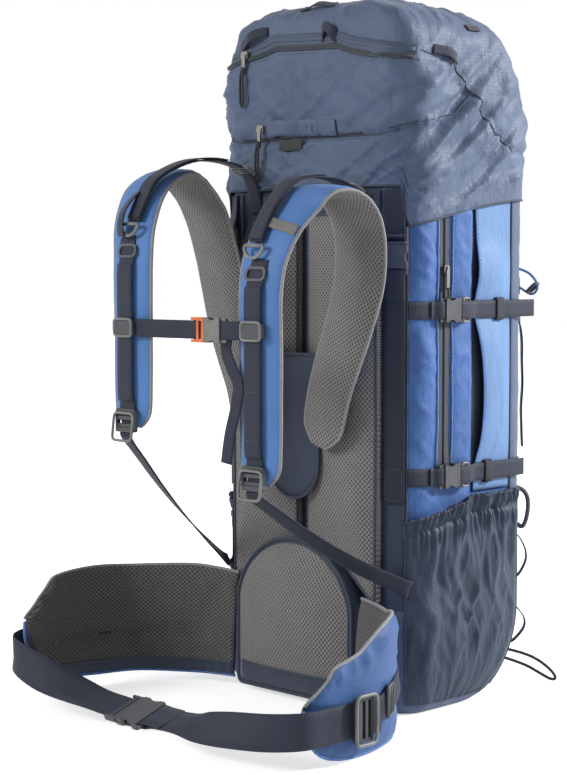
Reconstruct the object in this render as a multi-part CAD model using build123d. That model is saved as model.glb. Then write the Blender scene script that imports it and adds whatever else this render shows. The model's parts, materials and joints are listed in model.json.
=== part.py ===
from build123d import *
import math
import os

# Hiking backpack, about 60 litres, with an internal frame and an adjustable harness.
# Millimetres, +Z up. The origin is the middle of the flat base that the pack stands on.
# +X is the wearer's left, and -Y is the side that lies against the wearer's back.

# ---------------------------------------------------------------- pack bag
PACK_WIDTH = 300.0
PACK_DEPTH = 225.0
BACK_Y = -115.0
CORNER_RADIUS = 40.0
BASE_RADIUS = 105.0
WALL = 4.0
BASE_TOP = 120.0
RIM_Z = 600.0
REAR_SEAM_Y = -70.0
FRONT_SEAM_Y = 68.0
COLLAR_HEIGHT = 45.0
COLLAR_TAPER = 25.0

# ---------------------------------------------------------------- lid
LID_GAP = 1.5
LID_WALL = 3.0
LID_HEM_Z = 592.0
LID_POCKET_Z = 655.0
LID_TOP_Z = 809.0
LID_REAR_DROP = 34.0
SKIRT_REAR_Z = 545.0
SKIRT_FRONT_Z = 578.0
LID_ZIP_DROP = 57.0
COVER_ZIP_Z = 664.0
# Top of the lid seen from the side: (in from the front face, down from the top) of each point.
LID_BROW = [(14.5, 126.0), (30.5, 94.0), (50.5, 52.0), (78.5, 19.0), (129.5, 3.0), (179.5, 0.0)]
LID_CROWN_DROP = 11.0
LID_CROWN_INSET = 13.5
# Side edges of the lid seen from behind: (in from the side face, down from the top).
LID_CHEEK = [(0.0, 109.0), (5.0, 69.0), (14.0, 36.0), (45.0, 12.0)]
# Where the two small loops sit, as fractions of the top's length from the front back.
LID_LOOP_PLACES = (0.42, 0.89)
LID_LOOP_WIDTH = 12.0

# ---------------------------------------------------------------- clearances
SEAT_GAP = 0.3
SLIDE_GAP = 0.5
LAP_GAP = 0.7

# ---------------------------------------------------------------- frame and back padding
SHEET_THICK = 1.5
SHEET_MARGIN = 45.0
STAY_WIDTH = 20.0
STAY_THICK = 3.0
STAY_X = 70.0
STAY_HEIGHT = 520.0
BACK_PAD_THICK = 23.0
BACK_PAD_INNER_X = 12.0
BACK_PAD_OUTER_X = 107.0
BACK_PAD_TOP_Z = 560.0
LUMBAR_HALF_WIDTH = 92.0
LUMBAR_BOTTOM_Z = 8.0
LUMBAR_TOP_Z = 190.0
LUMBAR_THICK = 45.0
ADJUSTER_HALF_WIDTH = 40.0
ADJUSTER_TOP_Z = 405.0
ADJUSTER_TIP_Z = 237.0
ADJUSTER_THICK = 4.0

# ---------------------------------------------------------------- pockets
POCKET_BULGE = 14.0
POCKET_WALL = 2.0
POCKET_BOTTOM_Z = 10.0
POCKET_REAR_Y = -104.0
POCKET_FRONT_Y = 86.0
POCKET_REAR_HEM_Z = 196.0
POCKET_FRONT_HEM_Z = 240.0

# ---------------------------------------------------------------- webbing and buckles
WEB_THICK = 1.6
WEB_NARROW = 20.0
WEB_STRAP = 25.0
WEB_WAIST = 38.0
BUCKLE_MARGIN = 7.0
BUCKLE_WALL = 1.8
BUCKLE_THICK = 9.0
BUCKLE_TONGUE = 3.4
BUCKLE_CHAMFER = 1.6
LATCH_GAP = 0.4
ARM_WIDTH = 2.4
LATCH_STEP = 1.4
BAR_WIDTH = 3.0
BAR_THICK = 1.7
LADDER_LENGTH = 16.0

# ---------------------------------------------------------------- compression straps
UPPER_STRAP_Z = 455.0
LOWER_STRAP_Z = 268.0
COMPRESSION_MOUTH_Y = -38.0
COMPRESSION_END_Y = 98.0
COMPRESSION_START_Y = -94.0
TAIL_LENGTH = 78.0
KEEPER_Y = 22.0

# ---------------------------------------------------------------- lid straps
REAR_STRAP_INSET = 22.0
REAR_STRAP_BOTTOM_Z = 239.0
REAR_STRAP_MOUTH_Z = 528.0
FRONT_STRAP_X = 85.0
FRONT_STRAP_BOTTOM_Z = 330.0
FRONT_MOUTH_STAND = 17.0
FRONT_MOUTH_Z = 530.0

# ---------------------------------------------------------------- zips
ZIP_WIDTH = 16.0
ZIP_THICK = 1.2
COIL_WIDTH = 6.0
COIL_THICK = 0.8
SIDE_ZIP_Y = -52.0
SIDE_ZIP_BOTTOM_Z = 283.0
SIDE_ZIP_TOP_Z = 540.0
SIDE_SLIDER_Z = 500.0
LID_ZIP_HALF = 108.0
LID_SLIDER_X = -98.0
COVER_SLIDER_X = -72.0

# ---------------------------------------------------------------- shoulder straps
STRAP_THICK = 14.0
STRAP_PIVOT_Y = -143.0
STRAP_PIVOT_Z = 308.0
STRAP_FRONT_X = 92.0
RAIL_LIFT = 3.2
CHEST_LEAN = 12.2
LIFTER_X = 87.0
STERNUM_Z = 436.0
STERNUM_MOUTH = -28.0
CLIP_HEIGHT = 15.0
CLIP_WALL = 3.0

# ---------------------------------------------------------------- hip belt
WING_THICK = 17.0
WING_SIDE_X = 221.0
WAIST_Z = 22.0
WAIST_MOUTH_X = -30.0
WAIST_MOUTH_Y = -362.0
WAIST_TILT = 70.0
WAIST_GAP = 1.7
WING_PIVOT_Y = BACK_Y - 3.0

# ---------------------------------------------------------------- front trim
TOOL_LOOP_X = 60.0
TOOL_LOOP_Z = 174.0
TOOL_LOOP_WIDTH = 12.0
TOOL_LOOP_STAND = 12.0
TOGGLE_INSET = 30.0
TOGGLE_Z = 470.0
TOGGLE_RADIUS = 6.0

# ---------------------------------------------------------------- derived places
FRONT_Y = BACK_Y + PACK_DEPTH
MID_Y = BACK_Y + PACK_DEPTH / 2
HALF_WIDTH = PACK_WIDTH / 2
REAR_STRAP_X = HALF_WIDTH - REAR_STRAP_INSET
FRONT_MOUTH_Y = FRONT_Y + FRONT_MOUTH_STAND
TOGGLE_X = HALF_WIDTH - TOGGLE_INSET
LID_GROW = LID_GAP + LID_WALL
LID_REAR_TOP_Z = LID_TOP_Z - LID_REAR_DROP
LID_ZIP_Z = LID_TOP_Z - LID_ZIP_DROP
LID_REAR_Y = BACK_Y - LID_GROW
LID_FRONT_Y = FRONT_Y + LID_GROW
HINGE_Y = LID_REAR_Y - SEAT_GAP
WING_PIVOT_X = LUMBAR_HALF_WIDTH + 4.0
WEB_LOW = -BUCKLE_THICK / 2 + WEB_THICK / 2
MIDDLE = 400.0

SIDES = {"left": 1, "right": -1}


# ---------------------------------------------------------------- general helpers
def save(name, *solids):
    """Write one node. Several solids stay separate solids of the same node."""
    shape = solids[0] if len(solids) == 1 else Compound(children=list(solids))
    export_step(shape, f"parts/{name}.step")


def block(x, y, z):
    """A box between the given (low, high) pairs."""
    return Pos((x[0] + x[1]) / 2, (y[0] + y[1]) / 2, (z[0] + z[1]) / 2) * Box(
        x[1] - x[0], y[1] - y[0], z[1] - z[0]
    )


def sided(side, low, high):
    """A (low, high) pair along X, mirrored for the right side."""
    return (low, high) if side > 0 else (-high, -low)


def bag_prism(grow, low, high):
    """Prism of the bag's plan outline, grown outwards by grow."""
    outline = RectangleRounded(
        PACK_WIDTH + 2 * grow, PACK_DEPTH + 2 * grow, CORNER_RADIUS + grow
    )
    return Pos(0, MID_Y, low) * extrude(outline, high - low)


def base_prism(grow, high):
    """Prism across X of the bag's side profile, with the round front of the base."""
    low = -grow
    rear = BACK_Y - grow
    front = FRONT_Y + grow
    profile = Pos((rear + front) / 2, (low + high) / 2) * Rectangle(front - rear, high - low)
    corner = profile.vertices().sort_by_distance((front, low, 0))[0]
    profile = fillet(corner, BASE_RADIUS + grow)
    return extrude(Plane.YZ * profile, PACK_WIDTH, both=True)


def strip_face(points, thickness):
    """Flat face of even thickness along a polyline, mitred at its bends."""
    path = [Vector(*point) for point in points]
    runs = [(b - a).normalized() for a, b in zip(path, path[1:])]
    runs = [runs[0]] + runs + [runs[-1]]
    left = []
    right = []
    for point, run_in, run_out in zip(path, runs, runs[1:]):
        normal_in = Vector(-run_in.Y, run_in.X)
        normal_out = Vector(-run_out.Y, run_out.X)
        mitre = (normal_in + normal_out) * (thickness / 2 / (1 + normal_in.dot(normal_out)))
        left.append(point + mitre)
        right.append(point - mitre)
    return make_face(Polyline(*left, *reversed(right), close=True))


def strap(plane, points, width, thickness=WEB_THICK):
    """Webbing that follows a polyline drawn in a plane, as wide as width across it."""
    return extrude(plane * strip_face(points, thickness), width / 2, both=True)


def edge_plane(frame):
    """Plane seen on a strap's edge: x along the frame's x, y along its outward z."""
    return Plane(origin=frame.origin, x_dir=frame.x_dir, z_dir=-frame.y_dir)


def straight_strap(start, end, face_dir, width):
    """Straight webbing between two points, with its flat side towards face_dir."""
    along = Vector(*end) - Vector(*start)
    across = along.cross(Vector(*face_dir)).normalized()
    section = Plane(origin=start, x_dir=across, z_dir=along)
    return extrude(section * Rectangle(width, WEB_THICK), along.length)


def padded_ribbon(stations):
    """Closed pad lofted through sections: (centre, across direction, width, thickness)."""
    centres = [Vector(*station[0]) for station in stations]
    before = [centres[0]] + centres[:-1]
    after = centres[1:] + [centres[-1]]
    sections = []
    for centre, back, ahead, station in zip(centres, before, after, stations):
        plane = Plane(origin=centre, x_dir=Vector(*station[1]), z_dir=ahead - back)
        sections.append(plane * Rectangle(station[2], station[3]))
    return loft(sections, ruled=True)


# ---------------------------------------------------------------- side-release buckle
# Local frame: the plug leaves the socket along +x, y is the width and z the thickness.
def buckle_width(web):
    return web + BUCKLE_MARGIN


def socket_length(web):
    return 0.85 * web + 5.0


def buckle_socket(web):
    """Hollow socket with waisted sides that open over the latch arms, and a sewing bar."""
    width = buckle_width(web)
    length = socket_length(web)
    bite_radius = 0.42 * length
    bite_depth = BUCKLE_WALL + 0.9
    plan = Rectangle(length, width)
    plan = Pos(-length / 2, 0) * chamfer(plan.vertices(), BUCKLE_CHAMFER)
    for side in SIDES.values():
        bite_y = side * (width / 2 + bite_radius - bite_depth)
        plan -= Pos(-0.52 * length, bite_y) * Circle(bite_radius)
    sleeve = extrude(plan, BUCKLE_THICK / 2, both=True)
    cavity_length = length - BAR_WIDTH
    sleeve -= Pos(-cavity_length / 2, 0, 0) * Box(
        cavity_length, width - 2 * BUCKLE_WALL, BUCKLE_THICK - 2 * BUCKLE_WALL
    )
    loop_length = 2 * BAR_WIDTH + 1.0
    loop = Pos(-length - loop_length / 2 + 1.0, 0, 0) * Box(loop_length + 2.0, width - 1.0, 2 * BAR_THICK)
    slot = Pos(-length - 0.5 - BAR_WIDTH / 2, 0, 0) * Box(BAR_WIDTH, web + 1.0, BUCKLE_THICK)
    return sleeve + loop - slot


def buckle_plug(web, gap=SLIDE_GAP):
    """Plug with a guide blade, two latch arms at their pressed width and a ladder."""
    width = buckle_width(web)
    length = socket_length(web)
    inner = width / 2 - BUCKLE_WALL - gap
    reach = 0.78 * length
    flange = Pos(LATCH_GAP + BAR_WIDTH / 2, 0, 0) * Box(BAR_WIDTH, width, BUCKLE_THICK)
    flange = chamfer(flange.edges().filter_by(Axis.X), BUCKLE_CHAMFER)
    root = LATCH_GAP + 1.0
    plan = Pos((root - 0.6 * length) / 2, 0) * Rectangle(root + 0.6 * length, ARM_WIDTH + 1.0)
    for side in SIDES.values():
        arm = Polyline(
            (root, side * (inner - LATCH_STEP)),
            (-0.4 * length, side * (inner - LATCH_STEP)),
            (-0.4 * length, side * inner),
            (-0.66 * length, side * inner),
            (-reach, side * (inner - ARM_WIDTH)),
            (-reach, side * (inner - 2 * ARM_WIDTH)),
            (-0.4 * length, side * (inner - LATCH_STEP - ARM_WIDTH)),
            (root, side * (inner - LATCH_STEP - ARM_WIDTH)),
            close=True,
        )
        plan += make_face(arm)
    tongue = extrude(plan, BUCKLE_TONGUE / 2, both=True)
    ladder_start = LATCH_GAP + BAR_WIDTH
    ladder_middle = ladder_start + LADDER_LENGTH / 2
    ladder = tongue + flange
    rail_width = (BUCKLE_MARGIN - 1.0) / 2
    for side in SIDES.values():
        rail_y = side * (width / 2 - rail_width / 2)
        ladder += Pos(ladder_middle, rail_y, 0) * Box(LADDER_LENGTH, rail_width, 2 * (BAR_THICK + 1.3))
    for bar_x, bar_side in ((0.42, 1), (0.88, -1)):
        bar_z = bar_side * (1.3 + BAR_THICK / 2)
        bar_place = Pos(ladder_start + bar_x * LADDER_LENGTH, 0, bar_z)
        ladder += bar_place * Box(BAR_WIDTH, width - 1.0, BAR_THICK)
    return ladder


def fold_place(web):
    """Where webbing folds through a socket's slot, along the buckle's x."""
    return -socket_length(web) - 0.5 - BAR_WIDTH / 2


def socket_loop(web, end, lap, low=WEB_LOW):
    """Edge path of webbing folded round a socket's bar and lapped back on itself."""
    fold = fold_place(web)
    lift = BAR_THICK + 1.3
    return [
        (end, low),
        (fold - lap, low),
        (fold - 5.5, -lift - 0.6),
        (fold, -lift),
        (fold, lift),
        (fold - 6.0, lift),
        (fold - lap, low + WEB_THICK + LAP_GAP),
    ]


def ladder_loop(run, tail, low=WEB_LOW):
    """Edge path of webbing that threads a ladder bar and doubles back as its tail."""
    turn = LATCH_GAP + BAR_WIDTH + 2.2
    lift = 1.3 + BAR_THICK + 1.3
    return [
        (run, low),
        (40.0, low),
        (24.0, 0.0),
        (turn, 0.0),
        (turn, lift),
        (20.0, lift),
        (40.0, low + WEB_THICK + LAP_GAP),
        (tail, low + WEB_THICK + LAP_GAP),
    ]


def ladder_lock(web):
    """Flat strap adjuster: a frame with two bars and a lifted thumb tab."""
    width = web + 8.0
    length = 26.0
    plate = extrude(RectangleRounded(length, width, 3.0), BUCKLE_THICK / 4, both=True)
    for slot_x in (-7.0, 1.5):
        plate -= Pos(slot_x, 0, 0) * Box(4.5, web + 1.2, BUCKLE_THICK)
    tab = Pos(length / 2 - 2.5, 0, BUCKLE_THICK / 4 + 1.0) * Box(5.0, width - 6.0, 2.4)
    return plate + tab


# ---------------------------------------------------------------- bag panels
def make_bag():
    outer = bag_prism(0, 0, RIM_Z) & base_prism(0, RIM_Z)
    inner = bag_prism(-WALL, WALL, RIM_Z + 1) & base_prism(-WALL, RIM_Z + 1)
    shell = outer - inner
    wide = (-PACK_WIDTH, PACK_WIDTH)
    deep = (-PACK_DEPTH, PACK_DEPTH)
    upper = (BASE_TOP, RIM_Z + 2)
    save("base_panel", shell & block(wide, deep, (-1, BASE_TOP)))
    save("back_panel", shell & block(wide, (BACK_Y - 1, REAR_SEAM_Y), upper))
    save("front_panel", shell & block(wide, (FRONT_SEAM_Y, FRONT_Y + 1), upper))
    for name, side in SIDES.items():
        zone = block(sided(side, 0, PACK_WIDTH), (REAR_SEAM_Y, FRONT_SEAM_Y), upper)
        save(f"side_panel_{name}", shell & zone)


def make_collar():
    """Drawcord collar that narrows above the rim, under the lid."""
    def funnel(inset):
        rings = []
        for extra, z in ((0, RIM_Z), (COLLAR_TAPER, RIM_Z + COLLAR_HEIGHT)):
            shrink = 2 * (inset + extra)
            radius = CORNER_RADIUS - inset - extra * 0.5
            ring = RectangleRounded(PACK_WIDTH - shrink, PACK_DEPTH - shrink, radius)
            rings.append(Pos(0, MID_Y, z) * ring)
        return loft(rings)

    save("collar", funnel(0) - funnel(WALL))


def make_frame():
    """Plastic frame sheet with two aluminium stays, inside the back panel."""
    sheet_front = BACK_Y + WALL + SHEET_THICK
    half = HALF_WIDTH - SHEET_MARGIN
    sheet = block((-half, half), (BACK_Y + WALL, sheet_front), (2 * WALL, STAY_HEIGHT + 2 * WALL))
    sheet = fillet(sheet.edges().filter_by(Axis.Y), 20.0)
    save("frame_sheet", sheet)
    stays = []
    for side in SIDES.values():
        centre = side * STAY_X
        bar = block(
            (centre - STAY_WIDTH / 2, centre + STAY_WIDTH / 2),
            (sheet_front, sheet_front + STAY_THICK),
            (2 * WALL, STAY_HEIGHT),
        )
        stays.append(fillet(bar.edges().filter_by(Axis.Y), STAY_WIDTH / 2 - 0.5))
    save("frame_stays", *stays)


# ---------------------------------------------------------------- back padding
def make_back_pads():
    top = BACK_PAD_TOP_Z
    bottom = LUMBAR_TOP_Z + 6.0
    for name, side in SIDES.items():
        outline = Polyline(
            (side * BACK_PAD_INNER_X, bottom),
            (side * (BACK_PAD_OUTER_X - 12.0), bottom),
            (side * BACK_PAD_OUTER_X, bottom + 130.0),
            (side * BACK_PAD_OUTER_X, top - 60.0),
            (side * (BACK_PAD_OUTER_X - 30.0), top),
            (side * BACK_PAD_INNER_X, top),
            close=True,
        )
        plane = Plane.XZ.offset(-(BACK_Y - SEAT_GAP))
        pad = extrude(plane * make_face(outline), BACK_PAD_THICK)
        front_edges = pad.edges().group_by(Axis.Y)[0]
        save(f"back_pad_{name}", chamfer(front_edges, 7.0))


def make_lumbar_pad():
    """Arched cushion low on the back, with the hip wings beside it."""
    shoulder = LUMBAR_TOP_Z - 70.0
    half = LUMBAR_HALF_WIDTH
    outline = [
        Line((-half, LUMBAR_BOTTOM_Z), (half, LUMBAR_BOTTOM_Z)),
        Line((half, LUMBAR_BOTTOM_Z), (half, shoulder)),
        ThreePointArc((half, shoulder), (0, LUMBAR_TOP_Z), (-half, shoulder)),
        Line((-half, shoulder), (-half, LUMBAR_BOTTOM_Z)),
    ]
    plane = Plane.XZ.offset(-(BACK_Y - SEAT_GAP))
    pad = extrude(plane * make_face(outline), LUMBAR_THICK)
    front_edges = pad.edges().group_by(Axis.Y)[0]
    save("lumbar_pad", fillet(front_edges, 9.0))


def make_adjuster():
    """Yoke panel that the shoulder straps are sewn to, with a round lower tip."""
    half = ADJUSTER_HALF_WIDTH
    low = ADJUSTER_TIP_Z + half
    outline = [
        Line((half, low), (half, ADJUSTER_TOP_Z)),
        Line((half, ADJUSTER_TOP_Z), (-half, ADJUSTER_TOP_Z)),
        Line((-half, ADJUSTER_TOP_Z), (-half, low)),
        ThreePointArc((-half, low), (0, ADJUSTER_TIP_Z), (half, low)),
    ]
    plane = Plane.XZ.offset(-(BACK_Y - BACK_PAD_THICK - 2 * SEAT_GAP))
    save("adjuster_panel", extrude(plane * make_face(outline), ADJUSTER_THICK))


def make_haul_loop():
    """Carrying loop of webbing at the top of the back, sewn at both ends."""
    plane = Plane.XY.offset(LID_HEM_Z - 16.0)
    base_y = BACK_Y - SEAT_GAP - WEB_THICK / 2
    points = [
        (-74.0, base_y),
        (-62.0, base_y),
        (-56.0, base_y - 12.0),
        (-38.0, base_y - 12.0),
        (-32.0, base_y),
        (-20.0, base_y),
    ]
    save("haul_loop", strap(plane, points, WEB_NARROW))


# ---------------------------------------------------------------- side pockets
def make_pockets():
    """Stretch pockets low on both sides, open at their slanted hem."""
    def zone(side, shrink, low, extra):
        hem = Polyline(
            (POCKET_REAR_Y + shrink, low),
            (POCKET_FRONT_Y - shrink, low),
            (POCKET_FRONT_Y - shrink, POCKET_FRONT_HEM_Z + extra),
            (POCKET_REAR_Y + shrink, POCKET_REAR_HEM_Z + extra),
            close=True,
        )
        return extrude(Plane.YZ * make_face(hem), side * PACK_WIDTH)

    for name, side in SIDES.items():
        skin = bag_prism(POCKET_BULGE, 0, MIDDLE) - bag_prism(SEAT_GAP, 0, MIDDLE)
        room = bag_prism(POCKET_BULGE - POCKET_WALL, 0, MIDDLE) - bag_prism(SEAT_GAP, 0, MIDDLE)
        cover = base_prism(0, MIDDLE)
        lining = base_prism(-POCKET_WALL - POCKET_BOTTOM_Z, MIDDLE)
        pocket = (skin & zone(side, 0, POCKET_BOTTOM_Z, 0) & cover)
        hollow = room & zone(side, POCKET_WALL, POCKET_BOTTOM_Z + POCKET_WALL, 5.0) & lining
        save(f"side_pocket_{name}", pocket - hollow)


# ---------------------------------------------------------------- compression straps
def band(side, low_y, high_y, low_z, high_z):
    """Webbing laid round a corner of the bag, clear of it by the seat gap."""
    ring = bag_prism(SEAT_GAP + WEB_THICK, low_z, high_z) - bag_prism(SEAT_GAP, low_z, high_z)
    return ring & block(sided(side, 0, PACK_WIDTH), (low_y, high_y), (low_z, high_z))


def compression_frame(side, z):
    """Buckle laid over the side zip, with its plug towards the pack's front."""
    surface = HALF_WIDTH + 2 * SEAT_GAP + ZIP_THICK + BUCKLE_THICK / 2
    return Plane(
        origin=(side * surface, COMPRESSION_MOUTH_Y, z), x_dir=(0, 1, 0), z_dir=(side, 0, 0)
    )


def make_compression_straps():
    half = WEB_NARROW / 2
    low = WEB_LOW - ZIP_THICK - SEAT_GAP
    rear_corner = BACK_Y + CORNER_RADIUS
    front_corner = FRONT_Y - CORNER_RADIUS
    sewn = []
    sockets = []
    for name, side in SIDES.items():
        pulled = []
        for level, z in (("upper", UPPER_STRAP_Z), ("lower", LOWER_STRAP_Z)):
            frame = compression_frame(side, z)
            edge = edge_plane(frame)
            rear_end = rear_corner - COMPRESSION_MOUTH_Y
            rear = strap(edge, socket_loop(WEB_NARROW, rear_end, 11.0, low), WEB_NARROW)
            sewn.append(rear + band(side, COMPRESSION_START_Y, rear_corner, z - half, z + half))
            front_end = front_corner - COMPRESSION_MOUTH_Y
            front = strap(edge, ladder_loop(front_end, TAIL_LENGTH, low), WEB_NARROW)
            pulled.append(front + band(side, front_corner, COMPRESSION_END_Y, z - half, z + half))
            sewn.append(keeper(side, z))
            sockets.append(frame * buckle_socket(WEB_NARROW))
            save(f"compression_plug_{name}_{level}", frame * buckle_plug(WEB_NARROW))
        save(f"compression_webbing_{name}", *pulled)
    save("compression_anchors", *sewn)
    save("compression_sockets", *sockets)


def keeper(side, z):
    """Elastic keeper that holds a strap's tail down on the standing part."""
    wall = 1.2
    room = WEB_NARROW / 2 + 0.6
    top = 2 * WEB_THICK + 1.5
    inner = HALF_WIDTH + SEAT_GAP
    outside = block(
        sided(side, inner, inner + top + wall),
        (KEEPER_Y - 5.0, KEEPER_Y + 5.0),
        (z - room - wall, z + room + wall),
    )
    return outside - block(
        sided(side, inner - 1.0, inner + top), (KEEPER_Y - 6.0, KEEPER_Y + 6.0), (z - room, z + room)
    )


# ---------------------------------------------------------------- lid straps
def rear_strap_frame(side):
    """Buckle on the rounded rear corner, facing square to the corner there."""
    centre_x = HALF_WIDTH - CORNER_RADIUS
    centre_y = BACK_Y + CORNER_RADIUS
    turn = math.asin((REAR_STRAP_X - centre_x) / CORNER_RADIUS)
    outward = Vector(side * math.sin(turn), -math.cos(turn), 0)
    reach = CORNER_RADIUS + SEAT_GAP + BUCKLE_THICK / 2
    origin = Vector(side * centre_x, centre_y, REAR_STRAP_MOUTH_Z) + outward * reach
    return Plane(origin=origin, x_dir=(0, 0, 1), z_dir=outward)


def front_strap_frame(x):
    """Buckle on the front; its plug leaves square to the line from the lid's hinge."""
    middle_z = FRONT_MOUTH_Z - socket_length(WEB_STRAP) / 2
    arm = Vector(0, FRONT_MOUTH_Y - HINGE_Y, middle_z - LID_HEM_Z).normalized()
    return Plane(origin=(x, FRONT_MOUTH_Y, FRONT_MOUTH_Z), x_dir=(0, -arm.Z, arm.Y), z_dir=arm)


def make_lid_straps():
    webbing = []
    buckles = []
    lid_webbing = []
    lid_plugs = []
    for side in SIDES.values():
        frame = rear_strap_frame(side)
        edge = edge_plane(frame)
        down = REAR_STRAP_BOTTOM_Z - REAR_STRAP_MOUTH_Z
        webbing.append(strap(edge, socket_loop(WEB_STRAP, down, 26.0), WEB_STRAP))
        up = LID_HEM_Z - 4.0 - REAR_STRAP_MOUTH_Z
        webbing.append(strap(edge, [(6.0, 0.0), (24.0, 0.0), (40.0, WEB_LOW), (up, WEB_LOW)], WEB_STRAP))
        buckles.append(frame * buckle_socket(WEB_STRAP))
        buckles.append(frame * buckle_plug(WEB_STRAP))
    for side in SIDES.values():
        frame = front_strap_frame(side * FRONT_STRAP_X)
        edge = edge_plane(frame)
        buckles.append(frame * buckle_socket(WEB_STRAP))
        lid_plugs.append(frame * buckle_plug(WEB_STRAP))
        webbing.append(front_webbing(side * FRONT_STRAP_X))
        lid_webbing.append(lid_front_webbing(side * FRONT_STRAP_X))
    save("lid_strap_webbing", *webbing)
    save("lid_strap_buckles", *buckles)
    save("lid_front_plugs", *lid_plugs)
    save("lid_front_webbing", *lid_webbing)


def in_side_view(frame, along, out):
    """The (y, z) place of a point given along and outwards from a frame."""
    place = frame.origin + frame.x_dir * along + frame.z_dir * out
    return (place.Y, place.Z)


def front_webbing(x):
    """Webbing sewn down the pack's front and folded round the socket's bar."""
    frame = front_strap_frame(x)
    fold = fold_place(WEB_STRAP)
    lift = BAR_THICK + 1.3
    skin_y = FRONT_Y + SEAT_GAP + WEB_THICK / 2
    low = in_side_view(frame, fold - 4.0, 0)[1]
    points = [
        (skin_y, FRONT_STRAP_BOTTOM_Z),
        (skin_y, low - 14.0),
        in_side_view(frame, fold - 6.0, -lift),
        in_side_view(frame, fold, -lift),
        in_side_view(frame, fold, lift),
        in_side_view(frame, fold - 6.0, lift),
        (skin_y + WEB_THICK + LAP_GAP, low - 16.0),
        (skin_y + WEB_THICK + LAP_GAP, low - 30.0),
    ]
    return strap(Plane.YZ.offset(x), points, WEB_STRAP)


def lid_front_webbing(x):
    """Webbing from the lid's front hem down through the plug's ladder."""
    frame = front_strap_frame(x)
    hem_y = LID_FRONT_Y + SEAT_GAP + WEB_THICK / 2
    points = [
        in_side_view(frame, LATCH_GAP + BAR_WIDTH + 2.2, 0),
        in_side_view(frame, LADDER_LENGTH + 8.0, 0),
        (hem_y, LID_HEM_Z),
        (hem_y, LID_POCKET_Z - 15.0),
    ]
    return strap(Plane.YZ.offset(x), points, WEB_STRAP)


# ---------------------------------------------------------------- lid
def lid_brow():
    """Curve over the lid seen from the side, from the front face to the rear one."""
    points = [(LID_FRONT_Y, LID_POCKET_Z)]
    points += [(LID_FRONT_Y - inset, LID_TOP_Z - drop) for inset, drop in LID_BROW]
    points.append((LID_REAR_Y + LID_CROWN_INSET, LID_TOP_Z - LID_CROWN_DROP))
    points.append((LID_REAR_Y, LID_REAR_TOP_Z))
    return Spline(*points)


def make_lid():
    """Domed lid: a closed pocket above and an open skirt that hangs over the rim."""
    skirt_y = BACK_Y + CORNER_RADIUS
    skirt = Polyline(
        (LID_REAR_Y, LID_REAR_TOP_Z),
        (LID_REAR_Y, LID_HEM_Z),
        (skirt_y, LID_HEM_Z),
        (skirt_y, SKIRT_REAR_Z),
        (LID_FRONT_Y, SKIRT_FRONT_Z),
        (LID_FRONT_Y, LID_POCKET_Z),
    )
    half = HALF_WIDTH + LID_GROW
    below = SKIRT_REAR_Z - 1.0
    cheek = [(half - inset, LID_TOP_Z - drop) for inset, drop in LID_CHEEK]
    crown = cheek + [(0, LID_TOP_Z)] + [(-x, z) for x, z in reversed(cheek)]
    sides = Polyline(crown[-1], (-half, below), (half, below), crown[0])
    dome = bag_prism(LID_GROW, below, LID_TOP_Z)
    dome = dome & extrude(Plane.YZ * make_face([skirt, lid_brow()]), PACK_WIDTH, both=True)
    dome = dome & extrude(Plane.XZ * make_face([sides, Spline(*crown)]), PACK_WIDTH, both=True)
    save("lid_shell", dome - bag_prism(LID_GAP, below, LID_POCKET_Z))


def make_lid_trim():
    """Zip tapes on the lid's rear face and the two webbing loops on its top."""
    tapes = []
    for z, half in ((LID_ZIP_Z, LID_ZIP_HALF), (COVER_ZIP_Z, LID_ZIP_HALF)):
        outer = LID_REAR_Y - SEAT_GAP - ZIP_THICK
        tape = block((-half, half), (outer, LID_REAR_Y - SEAT_GAP), (z - ZIP_WIDTH / 4, z + ZIP_WIDTH / 4))
        coil = block((-half, half), (outer - COIL_THICK, outer), (z - COIL_WIDTH / 2, z + COIL_WIDTH / 2))
        tapes.append(tape + coil)
    save("lid_zip_tapes", *tapes)
    loops = []
    for place in LID_LOOP_PLACES:
        seat = lid_brow() @ place
        run = lid_brow() % place
        plane = Plane(origin=(0, seat.X, seat.Y), x_dir=(1, 0, 0), z_dir=(0, run.X, run.Y))
        low = SEAT_GAP + WEB_THICK / 2
        high = low + 6.0
        points = [(-26.0, low), (-20.0, low), (-12.0, high), (12.0, high), (20.0, low), (26.0, low)]
        loops.append(strap(plane, points, LID_LOOP_WIDTH))
    save("lid_loops", *loops)


# ---------------------------------------------------------------- zips
def zip_slider(hang):
    """Slider in the zip's frame, +x along the zip and z outwards; its pull turned by hang."""
    body = extrude(RectangleRounded(11.0, 9.0, 3.0), 2.6)
    bridge = Pos(0, 0, 3.4) * Box(8.0, 2.4, 1.6)
    pull = extrude(Pos(-11.0, 0) * RectangleRounded(22.0, 5.0, 2.0), 0.8, both=True)
    pull = Pos(0, 0, 3.4) * Rot(0, 0, hang) * pull
    return body + bridge + pull


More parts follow.
